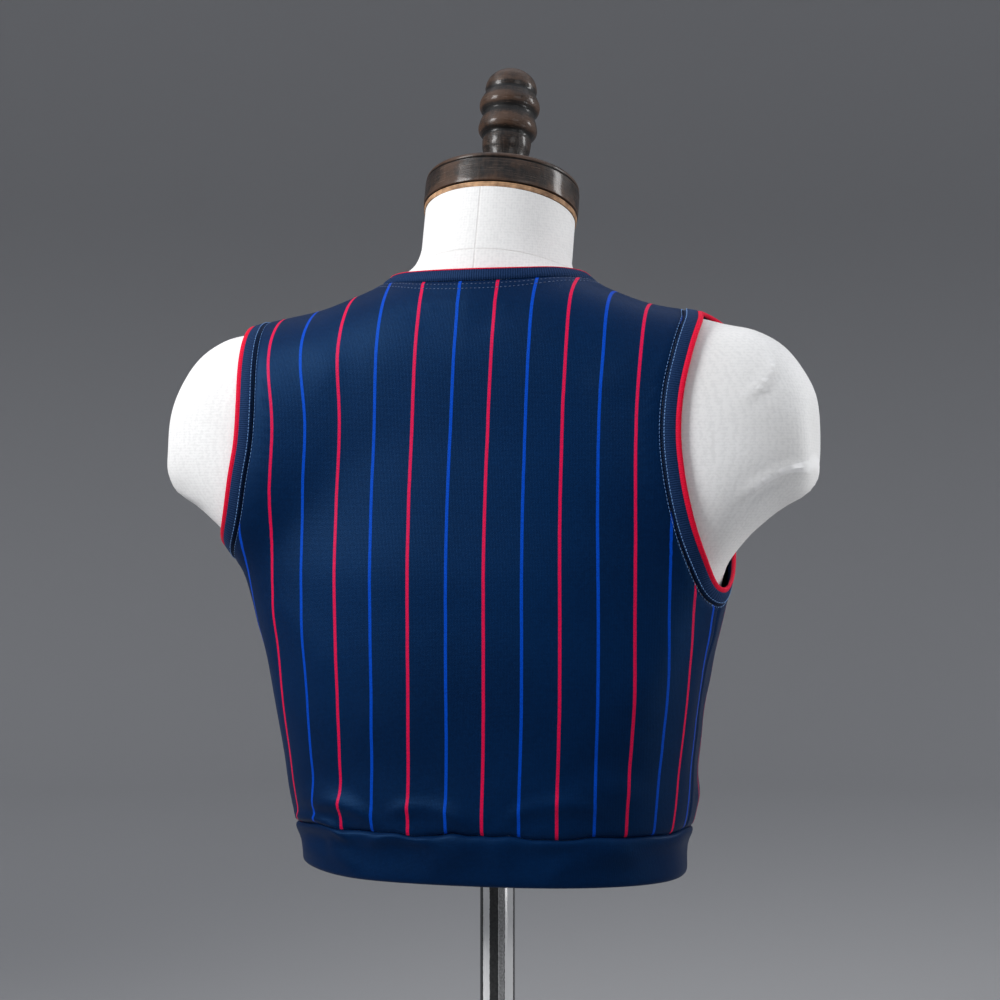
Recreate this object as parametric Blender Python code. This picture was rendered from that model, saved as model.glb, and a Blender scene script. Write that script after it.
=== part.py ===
"""A cropped sleeveless football top, worn by a limbless dress form on a pole stand.

The front faces -Y, the wearer's left is +X, the floor is z = 0 and the pole stands on the Z axis.
Lengths below are millimetres, and heights of the figure are measured up from the top's lower edge.
The figure is one smooth surface, the meeting of three forms: a trunk given by horizontal sections,
a yoke with arm stumps given by upright sections, and a neck that leans forward. The dress form is
that surface. Each piece of the top is a wall laid over it, between lines that are drawn on it.
"""
from math import cos, pi, radians, sin, tau

import bmesh
import bpy
import numpy as np
from mathutils import Vector
from mathutils.geometry import delaunay_2d_cdt

MM = 0.001

# Stand
HEM_ABOVE_FLOOR = 210.0
POLE_RADIUS = 11.0
BASE_RADIUS = 130.0
BASE_THICKNESS = 9.0
BASE_EDGE = 2.0
COLLAR_RADIUS = 19.0
COLLAR_HEIGHT = 14.0
PART_GAP = 0.3

# Neck, cap and finial, along the neck's own axis from its root
NECK_LEAN = radians(17.8)
NECK_ROOT = np.array([0.0, 9.0, 359.3])
NECK_END = 50.8
CAP_RADIUS = 49.0
CAP_THICKNESS = 20.4
RING_RADIUS = 48.3
RING_THICKNESS = 3.4

# Cloth
JERSEY = 1.2
RIB = 2.2
CLEARANCE = 1.5
SEAM_GAP = 0.3
HEM_BAND_HEIGHT = 30.0
ARMHOLE_BAND_WIDTH = 12.0
NECKBAND_WIDTH = 8.2
FORM_RECESS = 12.0
FORM_INSET = 0.8

# Mesh fineness
FORM_COLUMNS = 56
BODY_SPACING = 16.5
SHOULDER_SPACING = 11.0
SHOULDER_LEVEL = 296.0
PANEL_RADIUS = 130.0
ARMHOLE_POINTS = 44
NECK_POINTS = 40
HEM_POINTS = 56
SIDE_POINTS = 9
SHOULDER_POINTS = 5
SHOULDER_INDEX = 10
TURNED_SIDES = 40


def table(names, rows):
    """Columns of a table by name."""
    return {name: np.array([row[i] for row in rows], float) for i, name in enumerate(names.split())}


# Half the trunk's width, its depth behind and before its widest line, how far that line lies behind
# the pole, and how square the section is (2 is an ellipse).
TRUNK = table("height half_width back front middle squareness", [
    (0, 116.6, 71, 80, 10, 2.3),
    (20, 118.2, 70, 82, 12, 2.3),
    (42, 121.6, 64, 88, 17, 2.3),
    (71, 124.7, 58, 102, 24, 2.35),
    (101, 128.6, 54, 118, 30, 2.4),
    (131, 134, 54, 130, 31, 2.4),
    (161, 141.2, 54, 136, 31, 2.4),
    (185, 145.6, 54, 135, 31, 2.4),
    (220, 148.6, 51, 124, 31, 2.3),
    (250, 145, 48, 110, 31, 2.2),
    (280, 134, 44, 94, 30, 2.1),
    (315, 110, 38, 68, 28, 2.0),
    (345, 76, 32, 44, 24, 2.0),
    (372, 50, 30, 34, 18, 2.0),
])
# The yoke's top and underside, and its depth, at distances out from the middle.
YOKE = table("out top bottom back front middle", [
    (0, 366, 250, 46, 46, 28),
    (50, 362.3, 240, 46, 48, 28),
    (77, 354.8, 228, 46, 50, 28),
    (100, 347.2, 214, 47, 51, 28),
    (137, 340, 198, 48, 52, 28),
    (150, 337, 201, 48, 52, 27),
    (170, 333.2, 215, 47, 50, 25),
    (185, 325.5, 224, 45, 47, 23),
    (205, 303, 229, 40, 41, 21),
])
YOKE_END = 203.0
YOKE_END_POWER = 9.0
YOKE_POWER = 2.4
UNDERSIDE_SLANT = 0.22
# Half the neck's width and depth along its axis.
NECK = table("along half_width half_depth", [
    (-30, 62, 44),
    (-12, 56, 46),
    (5, 51, 49),
    (25, 47.6, 49.5),
    (45, 46.5, 49),
    (70, 46, 48.5),
])
BLEND_POWER = 9.0
END_FADE = 20.0

# Fans of rays from the middle line of the figure out to its surface. They lie level in the trunk,
# open upward through the shoulders and lie square to the axis in the neck.
FANS = table("level back height rise lean", [
    (0, 22, 0, 0, 0),
    (100, 22, 100, 0, 0),
    (200, 22, 200, 0, 0),
    (240, 22, 206, 14, 0),
    (280, 22, 214, 27, 0),
    (320, 20, 226, 39, 1),
    (360, 16, 246, 49, 4),
    (400, 10, 280, 52, 9),
    (430, 5, 314, 45, 13),
    (455, 1, 344, 30, 16),
    (475, -1, 366, 14, 17.8),
    (495, -1, 383, 0, 17.8),
    (525, -9, 412, 0, 17.8),
])

# The free edge of each armhole, from the shoulder round the back and the front. The top sits a
# little toward the wearer's left, whose armhole rides out on the stump.
ARMHOLE_LEFT = table("out y z", [
    (150, 24, 337),
    (148, 52, 328),
    (147, 68, 311),
    (146, 74, 290),
    (147, 76, 266),
    (151, 74, 244),
    (154, 62, 223),
    (156, 42, 211),
    (154, 20, 208),
    (150, -4, 210),
    (143, -24, 224),
    (139, -28, 252),
    (141, -24, 288),
    (146, -6, 320),
])
ARMHOLE_RIGHT = table("out y z", [
    (136, 26, 343),
    (139, 50, 333),
    (137, 66, 317),
    (133, 74, 292),
    (132, 77, 266),
    (134, 77, 246),
    (138, 71, 222),
    (143, 62, 199),
    (147, 47, 180),
    (149, 22, 183),
    (149, -10, 199),
    (143, -26, 225),
    (141, -30, 256),
    (144, -24, 292),
    (149, -4, 328),
])
# The neck seam of the top on the wearer's left, from the nape round to the centre front.
NECKLINE = table("out y z", [
    (0, 57.4, 360.8),
    (31, 51, 359.8),
    (53, 34, 355.4),
    (62.2, 11.4, 347),
    (60.4, -13.4, 336),
    (48.8, -36.8, 322),
    (27.4, -54.5, 310),
    (0, -60.6, 305),
])
NECK_SHIFT = 3.0

# How far the cloth stands off the figure: close at the shoulders, looser at the waist, where it
# blouses over the hem seam.
EASE = table("height off", [
    (0, 0.6),
    (26, 0.8),
    (34, 2.8),
    (44, 3.4),
    (70, 2.6),
    (130, 2.2),
    (165, 1.5),
    (200, 0.5),
    (240, 0.0),
    (380, 0.0),
])
# Where the cloth bridges a hollow: its place on the wearer's left or right, how high it stands off
# there and how far round.
BRIDGES = [
    (np.array([150, 34, 176]), 2.2, 30),
    (np.array([130, -28, 268]), 1.6, 38),
]

# Section of a folded rib band: how far across it each corner lies, and how high in its wall.
BAND_SECTION = [
    (0.0, 0.0),
    (0.0, 0.8),
    (0.2, 1.0),
    (0.82, 1.0),
    (1.0, 0.7),
    (1.0, 0.2),
    (0.85, 0.0),
]

# Turned finial: distance along its axis, and radius.
FINIAL = [
    (0, 12.0),
    (10, 12.6),
    (18, 13.6),
    (23, 15.2),
    (28, 15.6),
    (31, 15.4),
    (34, 18.0),
    (37, 18.9),
    (41, 18.2),
    (46, 16.6),
    (48, 17.0),
    (51, 19.0),
    (55, 19.2),
    (59, 17.6),
    (62, 16.2),
    (66, 16.6),
    (71, 15.2),
    (75, 12.0),
    (78, 7.0),
    (79.2, 0.0),
]
# Turned neck cap: height up its axis, and radius, with a bead round its top edge.
CAP = [
    (0.0, 47.6),
    (0.8, CAP_RADIUS),
    (15.4, CAP_RADIUS),
    (16.2, 48.0),
    (17.0, 48.6),
    (19.2, 47.6),
    (20.4, 45.5),
    (20.4, 0.0),
]

NECK_AXIS = np.array([0.0, -sin(NECK_LEAN), cos(NECK_LEAN)])
NECK_REAR = np.array([0.0, cos(NECK_LEAN), sin(NECK_LEAN)])
FLIP = np.array([-1, 1, 1])
RAY_LENGTH = 320.0
RAY_STEPS = 30
SETTLE_STEPS = 14
SETTLE_LIMIT = 4.0
PROBE = 0.4


def read(columns, key, name, at):
    """A smooth curve through a table's column, at the given values of its key column."""
    keys, values = columns[key], columns[name]
    slopes = np.gradient(values, keys)
    at = np.clip(at, keys[0], keys[-1])
    i = np.clip(np.searchsorted(keys, at) - 1, 0, len(keys) - 2)
    step = keys[i + 1] - keys[i]
    u = (at - keys[i]) / step
    start = (2 * u**3 - 3 * u**2 + 1) * values[i] + (u**3 - 2 * u**2 + u) * step * slopes[i]
    end = (3 * u**2 - 2 * u**3) * values[i + 1] + (u**3 - u**2) * step * slopes[i + 1]
    return start + end


def trunk_fullness(x, y, z):
    power = read(TRUNK, "height", "squareness", z)
    deep = y - read(TRUNK, "height", "middle", z)
    reach = np.where(deep > 0, read(TRUNK, "height", "back", z), read(TRUNK, "height", "front", z))
    wide = x / read(TRUNK, "height", "half_width", z)
    full = (wide**power + (np.abs(deep) / reach)**power)**(1 / power)
    return full + np.maximum(z - TRUNK["height"][-1], 0) / END_FADE


def yoke_fullness(x, y, z):
    top, bottom = read(YOKE, "out", "top", x), read(YOKE, "out", "bottom", x)
    deep = y - read(YOKE, "out", "middle", x)
    reach = np.where(deep > 0, read(YOKE, "out", "back", x), read(YOKE, "out", "front", x))
    bottom = bottom - UNDERSIDE_SLANT * np.clip(deep, -reach, reach)
    tall = np.abs(2 * z - top - bottom) / (top - bottom)
    section = (tall**YOKE_POWER + (np.abs(deep) / reach)**YOKE_POWER)**(1 / YOKE_POWER)
    end = (x / YOKE_END)**YOKE_END_POWER
    return (section**YOKE_END_POWER + end)**(1 / YOKE_END_POWER)


def neck_fullness(points):
    rel = points - NECK_ROOT
    along, deep = rel @ NECK_AXIS, rel @ NECK_REAR
    wide = rel[..., 0] / read(NECK, "along", "half_width", along)
    full = np.hypot(wide, deep / read(NECK, "along", "half_depth", along))
    return full + np.maximum(NECK["along"][0] - along, 0) / END_FADE


def fullness(points):
    """1 on the figure's surface, less inside it and more outside."""
    x, y, z = np.abs(points[..., 0]), points[..., 1], points[..., 2]
    forms = np.stack([trunk_fullness(x, y, z), yoke_fullness(x, y, z), neck_fullness(points)])
    return (np.maximum(forms, 0.001)**-BLEND_POWER).sum(0)**(-1 / BLEND_POWER)


def slope(points):
    """Gradient of the fullness."""
    steps = np.eye(3) * PROBE
    return np.stack([fullness(points + s) - fullness(points - s) for s in steps], -1) / (2 * PROBE)


def outward(points):
    grad = slope(points)
    return grad / np.linalg.norm(grad, axis=-1, keepdims=True)


def settle(points):
    """Points brought straight onto the figure's surface."""
    points = np.array(points, float)
    for _ in range(SETTLE_STEPS):
        grad = slope(points)
        size = (grad**2).sum(-1, keepdims=True)
        move = (1 - fullness(points))[..., None] * grad / size
        length = np.linalg.norm(move, axis=-1, keepdims=True)
        points = points + move * np.minimum(1, SETTLE_LIMIT / np.maximum(length, 1e-9))
    return points


def rays(turn, level):
    """Start and direction of the ray at an angle from centre back towards the wearer's left."""
    rise = np.radians(read(FANS, "level", "rise", level))
    lean = np.radians(read(FANS, "level", "lean", level))
    start = np.stack([0 * rise, read(FANS, "level", "back", level),
                      read(FANS, "level", "height", level)], -1)
    side, rear, up = np.sin(turn) * np.cos(rise), np.cos(turn) * np.cos(rise), np.sin(rise)
    way = np.stack([side, rear * np.cos(lean) - up * np.sin(lean),
                    rear * np.sin(lean) + up * np.cos(lean)], -1)
    return start, way


def place(turn, level):
    """Points of the figure's surface."""
    turn, level = np.broadcast_arrays(turn, level)
    start, way = rays(turn, level)
    near, far = np.zeros(turn.shape), np.full(turn.shape, RAY_LENGTH)
    for _ in range(RAY_STEPS):
        middle = (near + far) / 2
        inside = fullness(start + way * middle[..., None]) < 1
        near, far = np.where(inside, middle, near), np.where(inside, far, middle)
    return start + way * near[..., None]


def address(points):
    """Turn and level of points of the surface, the reverse of place."""
    low = np.full(len(points), FANS["level"][0] - 1.0)
    high = np.full(len(points), FANS["level"][-1])
    for _ in range(RAY_STEPS):
        level = (low + high) / 2
        lean = np.radians(read(FANS, "level", "lean", level))
        rel = points[:, 1:] - np.stack([read(FANS, "level", "back", level),
                                        read(FANS, "level", "height", level)], -1)
        rear = rel[:, 0] * np.cos(lean) + rel[:, 1] * np.sin(lean)
        up = rel[:, 1] * np.cos(lean) - rel[:, 0] * np.sin(lean)
        rise = np.arctan2(up, np.hypot(points[:, 0], rear))
        above = rise > np.radians(read(FANS, "level", "rise", level))
        low, high = np.where(above, level, low), np.where(above, high, level)
    return np.arctan2(points[:, 0], rear), level


def ease(points):
    """How far the cloth stands off the figure there, beyond its clearance."""
    folded = np.concatenate([np.abs(points[..., :1]), points[..., 1:]], -1)
    off = read(EASE, "height", "off", points[..., 2])
    for place_of, lift, reach in BRIDGES:
        distance = np.linalg.norm(folded - place_of, axis=-1)
        off = off + lift * np.exp(-(distance / reach)**2)
    return off


def stand_off(points, height):
    """Points moved out from the surface by the cloth's stand-off and a height in the wall."""
    return points + outward(points) * (CLEARANCE + ease(points) + height)[..., None]


def smooth_path(points, count, closed):
    """Evenly spaced points on a smooth curve through the given ones."""
    points = np.array(points, float)
    if closed:
        points = np.concatenate([points[-2:], points, points[:3]])
    lengths = np.concatenate([[0], np.cumsum(np.linalg.norm(np.diff(points, axis=0), axis=1))])
    first, last = (2, len(points) - 3) if closed else (0, len(points) - 1)
    fine = np.linspace(lengths[first], lengths[last], 40 * len(points))
    columns = {"s": lengths, "x": points[:, 0], "y": points[:, 1], "z": points[:, 2]}
    curve = np.stack([read(columns, "s", name, fine) for name in "xyz"], -1)
    return spaced(curve, count, closed)


def spaced(curve, count, closed):
    """A fine polyline sampled at even distances. A closed one doesn't repeat its first point."""
    run = np.concatenate([[0], np.cumsum(np.linalg.norm(np.diff(curve, axis=0), axis=1))])
    at = np.linspace(0, run[-1], count, endpoint=not closed)
    return np.stack([np.interp(at, run, curve[:, i]) for i in range(3)], -1)


def beside(curve, distance):
    """A closed curve on the surface moved sideways along it, to the left of its run seen outside."""
    along = np.roll(curve, -1, 0) - np.roll(curve, 1, 0)
    side = np.cross(outward(curve), along)
    side /= np.linalg.norm(side, axis=1, keepdims=True)
    return settle(curve + side * distance)


def solid(name, vertices, faces, material, smooth_angle=40.0):
    """A named object from points in millimetres above the hem and faces that point out."""
    mesh = bpy.data.meshes.new(name)
    world = (np.asarray(vertices) + [0, 0, HEM_ABOVE_FLOOR]) * MM
    mesh.from_pydata(world.tolist(), [], [list(map(int, face)) for face in faces])
    bm = bmesh.new()
    bm.from_mesh(mesh)
    bmesh.ops.recalc_face_normals(bm, faces=bm.faces)
    bm.to_mesh(mesh)
    bm.free()
    mesh.shade_smooth()
    mesh.set_sharp_from_angle(angle=radians(smooth_angle))
    mesh.materials.append(material)
    body = bpy.data.objects.new(name, mesh)
    bpy.context.collection.objects.link(body)
    return body


def finish(name, colour, roughness, metallic=0.0):
    """A plain material."""
    material = bpy.data.materials.new(name)
    material.use_nodes = True
    shader = material.node_tree.nodes["Principled BSDF"]
    shader.inputs["Base Color"].default_value = (*colour, 1.0)
    shader.inputs["Roughness"].default_value = roughness
    shader.inputs["Metallic"].default_value = metallic
    return material


def grid_faces(rows, columns, closed_rows, closed_columns):
    """Quads of a grid of points that may close on itself either way."""
    faces = []
    for i in range(rows if closed_rows else rows - 1):
        for j in range(columns if closed_columns else columns - 1):
            near, far = i * columns, (i + 1) % rows * columns
            faces.append((near + j, near + (j + 1) % columns, far + (j + 1) % columns, far + j))
    return faces


def folded_band(name, line_across, material):
    """A closed ring of folded cloth, from a function that gives its line at a part of its width."""
    section = []
    for across, height in BAND_SECTION:
        section.append(stand_off(line_across(across), RIB * height))
    faces = grid_faces(len(section), len(section[0]), True, True)
    return solid(name, np.concatenate(section), faces, material, 60.0)


def rib_band(name, seam, width, material):
    """A folded band that runs inward from a seam."""
    return folded_band(name, lambda across: beside(seam, SEAM_GAP / 2 + width * across), material)


def hem_line(height):
    """A level ring of the surface, from centre back past the wearer's right side."""
    turns = -np.arange(HEM_POINTS) * tau / HEM_POINTS
    return place(turns, np.full(HEM_POINTS, height))


def inside_outline(points, outline, margin):
    """Which points lie inside a closed outline, at least the margin away from it."""
    start, end = outline, np.roll(outline, -1, 0)
    inside = np.zeros(len(points), bool)
    nearest = np.full(len(points), np.inf)
    for a, b in zip(start, end):
        crosses = (a[1] > points[:, 1]) != (b[1] > points[:, 1])
        rise = b[1] - a[1] if b[1] != a[1] else 1e-9
        inside ^= crosses & (points[:, 0] < (b[0] - a[0]) * (points[:, 1] - a[1]) / rise + a[0])
        t = np.clip(((points - a) @ (b - a)) / max((b - a) @ (b - a), 1e-9), 0, 1)
        nearest = np.minimum(nearest, np.linalg.norm(points - a - t[:, None] * (b - a), axis=1))
    return inside & (nearest > margin)


def lattice(low, high, spacing):
    """Points of a triangular grid over a rectangle."""
    columns = np.arange(low[0], high[0], spacing)
    rows = np.arange(low[1] + spacing / 2, high[1], spacing * sin(pi / 3))
    return np.array([(x + j % 2 * spacing / 2, y) for j, y in enumerate(rows) for x in columns])


def panel(name, outline, facing, material):
    """A wall of single cloth inside a closed outline drawn on the surface."""
    outline = beside(outline, SEAM_GAP / 2)
    turn, level = address(outline)
    turn = (turn - facing + pi) % tau - pi
    flat = np.stack([turn * PANEL_RADIUS, level], -1)
    grid = np.concatenate([
        lattice(flat.min(0), (flat[:, 0].max(), SHOULDER_LEVEL), BODY_SPACING),
        lattice((flat[:, 0].min(), SHOULDER_LEVEL), flat.max(0), SHOULDER_SPACING),
    ])
    inner = grid[inside_outline(grid, flat, SHOULDER_SPACING * 0.6)]
    points = [Vector(point) for point in np.concatenate([flat, inner])]
    edges = [(i, (i + 1) % len(flat)) for i in range(len(flat))]
    made = delaunay_2d_cdt(points, edges, [], 1, 1e-4)
    triangles = np.array([[made[3][corner][0] for corner in face] for face in made[2]])
    surface = np.concatenate([outline, place(inner[:, 0] / PANEL_RADIUS + facing, inner[:, 1])])
    count = len(surface)
    faces = [tuple(face) for face in triangles]
    faces += [tuple(face[::-1] + count) for face in triangles]
    faces += [(b, a, a + count, b + count) for a, b in edges]
    walls = np.concatenate([stand_off(surface, JERSEY), stand_off(surface, 0.0)])
    return solid(name, walls, faces, material)


def line_on_surface(start, end, count):
    """Points of the surface along the straight line between two of its points, ends left out."""
    steps = np.linspace(0, 1, count + 2)[1:-1, None]
    return settle(start + (end - start) * steps)


def armhole_seam(corners):
    """The seam round an armhole on the wearer's left, from the shoulder down its front."""
    edge = np.stack([corners["out"], corners["y"], corners["z"]], -1)
    edge = settle(smooth_path(edge, ARMHOLE_POINTS, True))
    seam = beside(edge, ARMHOLE_BAND_WIDTH)
    return np.roll(seam[::-1], 1, 0)


def neck_seam():
    """The seam round the neck, from the nape past the wearer's right shoulder."""
    half = np.stack([NECKLINE["out"], NECKLINE["y"], NECKLINE["z"]], -1)
    whole = np.concatenate([half, (half * FLIP)[-2:0:-1]]) + [NECK_SHIFT, 0, 0]
    seam = settle(smooth_path(whole, NECK_POINTS, True))
    return np.roll(seam[::-1], 1, 0)


def garment(jersey, rib):
    """The four bands, and the two panels between their seams."""
    neck = neck_seam()
    hem = hem_line(HEM_BAND_HEIGHT)
    quarter = HEM_POINTS // 4
    rib_band("neckband", neck, NECKBAND_WIDTH, rib)
    folded_band("hem_band", lambda across: hem_line((HEM_BAND_HEIGHT - SEAM_GAP / 2) * (1 - across)),
                jersey)
    backs, fronts = [], []
    for side, corners in (("left", ARMHOLE_LEFT), ("right", ARMHOLE_RIGHT)):
        seam = armhole_seam(corners)
        underarm = int(np.argmin(seam[:, 2]))
        out = FLIP if side == "right" else 1
        neck_corner = neck[SHOULDER_INDEX if side == "right" else -SHOULDER_INDEX]
        hem_corner = hem[quarter if side == "right" else -quarter]
        shoulder = line_on_surface(neck_corner, seam[0] * out, SHOULDER_POINTS)
        flank = line_on_surface(seam[underarm] * out, hem_corner, SIDE_POINTS)
        rear_half = np.concatenate([seam[:1], seam[:underarm - 1:-1]]) * out
        fore_half = seam[:underarm + 1] * out
        backs.append(np.concatenate([shoulder, rear_half, flank]))
        fronts.append(np.concatenate([shoulder, fore_half, flank]))
        run = seam if side == "left" else (seam * FLIP)[::-1]
        rib_band("armhole_band_" + side, run, ARMHOLE_BAND_WIDTH, rib)
    nape = np.concatenate([neck[SHOULDER_INDEX::-1], neck[:-SHOULDER_INDEX - 1:-1]])
    hem_back = np.concatenate([hem[-quarter:], hem[:quarter + 1]])
    back = np.concatenate([nape, backs[0], hem_back, backs[1][::-1]])
    panel("back_panel", back, 0.0, jersey)
    throat = neck[-SHOULDER_INDEX:SHOULDER_INDEX - 1:-1]
    hem_front = hem[quarter:-quarter + 1]
    front = np.concatenate([throat, fronts[1], hem_front, fronts[0][::-1]])
    panel("front_panel", front, pi, jersey)


def dress_form(material):
    """The padded torso with arm stumps and neck, closed by flat faces below and under the cap."""
    steps = np.arange(FORM_COLUMNS) / FORM_COLUMNS
    turns = steps * tau + 0.34 * np.sin(2 * steps * tau)
    levels = np.concatenate([np.linspace(FORM_RECESS, 190, 4), np.linspace(203, 330, 12),
                             np.linspace(341, 490, 13)])
    rows = [place(turns, np.full(FORM_COLUMNS, level)) for level in levels]
    rows = [row - outward(row) * FORM_INSET for row in rows]
    rows[0][:, 2] = FORM_RECESS
    end = NECK_ROOT + NECK_AXIS * NECK_END
    top = rows[-1] + NECK_AXIS * ((end - rows[-1]) @ NECK_AXIS)[:, None]
    rows.append(top)
    points = np.concatenate(rows)
    faces = grid_faces(len(rows), FORM_COLUMNS, False, True)
    last = (len(rows) - 1) * FORM_COLUMNS
    faces += [tuple(range(FORM_COLUMNS)), tuple(range(last, last + FORM_COLUMNS))]
    return solid("dress_form", points, faces, material)


def turned(name, profile, start, axis, material, sides=TURNED_SIDES):
    """A solid of revolution about an axis from a start point, closed flat or by a tip."""
    basis = np.array(Vector(axis).to_track_quat("Z", "Y").to_matrix())
    angles = np.arange(sides) * tau / sides
    circle = np.stack([np.cos(angles), np.sin(angles), 0 * angles], -1)
    rings = [circle * radius + [0, 0, along] for along, radius in profile if radius > 0]
    faces = grid_faces(len(rings), sides, False, True) + [tuple(range(sides))]
    last = (len(rings) - 1) * sides
    height, radius = profile[-1]
    if radius > 0:
        faces.append(tuple(range(last, last + sides)))
    else:
        faces += [(last + i, last + (i + 1) % sides, last + sides) for i in range(sides)]
        rings.append(np.array([[0, 0, height]]))
    return solid(name, np.concatenate(rings) @ basis.T + np.array(start), faces, material, 35.0)


def stand(metal, wood, tan):
    """Base plate, pole, neck ring, neck cap and finial."""
    up = (0, 0, 1)
    floor = (0, 0, -HEM_ABOVE_FLOOR)
    turned("base_plate", [
        (0, BASE_RADIUS),
        (BASE_THICKNESS - BASE_EDGE, BASE_RADIUS),
        (BASE_THICKNESS - BASE_EDGE * 0.3, BASE_RADIUS - BASE_EDGE * 0.3),
        (BASE_THICKNESS, BASE_RADIUS - BASE_EDGE),
        (BASE_THICKNESS, COLLAR_RADIUS),
        (BASE_THICKNESS + COLLAR_HEIGHT - 1, COLLAR_RADIUS),
        (BASE_THICKNESS + COLLAR_HEIGHT, COLLAR_RADIUS - 1),
    ], floor, up, metal, 64)
    foot = BASE_THICKNESS + COLLAR_HEIGHT + PART_GAP
    height = HEM_ABOVE_FLOOR + FORM_RECESS - PART_GAP - foot
    turned("pole", [(0, POLE_RADIUS), (height, POLE_RADIUS)],
           (0, 0, foot - HEM_ABOVE_FLOOR), up, metal, 32)
    top = NECK_ROOT + NECK_AXIS * (NECK_END + PART_GAP)
    turned("neck_ring", [(0, RING_RADIUS), (RING_THICKNESS, RING_RADIUS)], top, NECK_AXIS, tan)
    top = top + NECK_AXIS * (RING_THICKNESS + PART_GAP)
    turned("neck_cap", CAP, top, NECK_AXIS, wood)
    top = top + NECK_AXIS * (CAP_THICKNESS + PART_GAP)
    turned("finial", FINIAL, top, NECK_AXIS, wood, 28)


def build():
    for thing in list(bpy.data.objects):
        bpy.data.objects.remove(thing, do_unlink=True)
    canvas = finish("canvas", (0.80, 0.80, 0.79), 0.85)
    wood = finish("dark_wood", (0.06, 0.035, 0.022), 0.35)
    tan = finish("tan_board", (0.50, 0.30, 0.16), 0.7)
    metal = finish("bright_metal", (0.72, 0.73, 0.74), 0.15, 1.0)
    jersey = finish("navy_jersey", (0.006, 0.022, 0.085), 0.6)
    rib = finish("navy_rib", (0.006, 0.018, 0.07), 0.7)
    dress_form(canvas)
    stand(metal, wood, tan)
    garment(jersey, rib)


build()
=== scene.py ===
"""The look of a cropped sleeveless football top worn by a limbless dress form on a pole stand.

Shapes are worked out in millimetres, with heights measured up from the top's lower edge. The front
faces -Y and the wearer's left is +X.
"""

from math import cos, pi, radians, sin, tau

import bmesh
import bpy
import numpy as np
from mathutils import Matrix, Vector
from mathutils.geometry import delaunay_2d_cdt
from mathutils.kdtree import KDTree


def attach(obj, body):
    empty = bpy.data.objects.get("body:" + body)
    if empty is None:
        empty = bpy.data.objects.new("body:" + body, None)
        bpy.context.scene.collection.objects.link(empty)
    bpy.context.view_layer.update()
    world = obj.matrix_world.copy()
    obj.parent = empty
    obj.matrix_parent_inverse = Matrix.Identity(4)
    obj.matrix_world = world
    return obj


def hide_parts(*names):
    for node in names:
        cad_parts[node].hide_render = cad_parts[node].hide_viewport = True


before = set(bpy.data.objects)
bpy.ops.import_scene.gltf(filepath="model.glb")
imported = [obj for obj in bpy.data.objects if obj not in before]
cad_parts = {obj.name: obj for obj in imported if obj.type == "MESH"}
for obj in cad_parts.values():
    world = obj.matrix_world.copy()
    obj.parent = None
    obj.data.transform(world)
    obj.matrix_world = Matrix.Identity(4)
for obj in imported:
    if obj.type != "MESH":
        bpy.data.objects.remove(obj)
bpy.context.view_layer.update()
MM = 0.001

# Stand
HEM_ABOVE_FLOOR = 210.0
POLE_RADIUS = 11.0
BASE_RADIUS = 130.0
BASE_THICKNESS = 9.0
BASE_EDGE = 2.0
COLLAR_RADIUS = 19.0
COLLAR_HEIGHT = 14.0
PART_GAP = 0.3

# Neck, cap and finial, along the neck's own axis from its root
NECK_LEAN = radians(17.8)
NECK_ROOT = np.array([0.0, 9.0, 359.3])
NECK_END = 50.8
CAP_RADIUS = 49.0
CAP_THICKNESS = 20.4
RING_RADIUS = 48.3
RING_THICKNESS = 3.4

# Cloth
JERSEY = 1.2
RIB = 2.2
CLEARANCE = 1.5
SEAM_GAP = 0.3
HEM_BAND_HEIGHT = 30.0
ARMHOLE_BAND_WIDTH = 12.0
NECKBAND_WIDTH = 8.2
FORM_RECESS = 12.0
FORM_INSET = 0.8


def table(names, rows):
    """Columns of a table by name."""
    return {name: np.array([row[i] for row in rows], float) for i, name in enumerate(names.split())}


# Half the trunk's width, its depth behind and before its widest line, how far that line lies behind
# the pole, and how square the section is (2 is an ellipse).
TRUNK = table("height half_width back front middle squareness", [
    (0, 116.6, 71, 80, 10, 2.3),
    (20, 118.2, 70, 82, 12, 2.3),
    (42, 121.6, 64, 88, 17, 2.3),
    (71, 124.7, 58, 102, 24, 2.35),
    (101, 128.6, 54, 118, 30, 2.4),
    (131, 134, 54, 130, 31, 2.4),
    (161, 141.2, 54, 136, 31, 2.4),
    (185, 145.6, 54, 135, 31, 2.4),
    (220, 148.6, 51, 124, 31, 2.3),
    (250, 145, 48, 110, 31, 2.2),
    (280, 134, 44, 94, 30, 2.1),
    (315, 110, 38, 68, 28, 2.0),
    (345, 76, 32, 44, 24, 2.0),
    (372, 50, 30, 34, 18, 2.0),
])
# The yoke's top and underside, and its depth, at distances out from the middle.
YOKE = table("out top bottom back front middle", [
    (0, 366, 250, 46, 46, 28),
    (50, 362.3, 240, 46, 48, 28),
    (77, 354.8, 228, 46, 50, 28),
    (100, 347.2, 214, 47, 51, 28),
    (137, 340, 198, 48, 52, 28),
    (150, 337, 201, 48, 52, 27),
    (170, 333.2, 215, 47, 50, 25),
    (185, 325.5, 224, 45, 47, 23),
    (205, 303, 229, 40, 41, 21),
])
YOKE_END = 203.0
YOKE_END_POWER = 9.0
YOKE_POWER = 2.4
UNDERSIDE_SLANT = 0.22
# Half the neck's width and depth along its axis.
NECK = table("along half_width half_depth", [
    (-30, 62, 44),
    (-12, 56, 46),
    (5, 51, 49),
    (25, 47.6, 49.5),
    (45, 46.5, 49),
    (70, 46, 48.5),
])
BLEND_POWER = 9.0
END_FADE = 20.0

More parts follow.
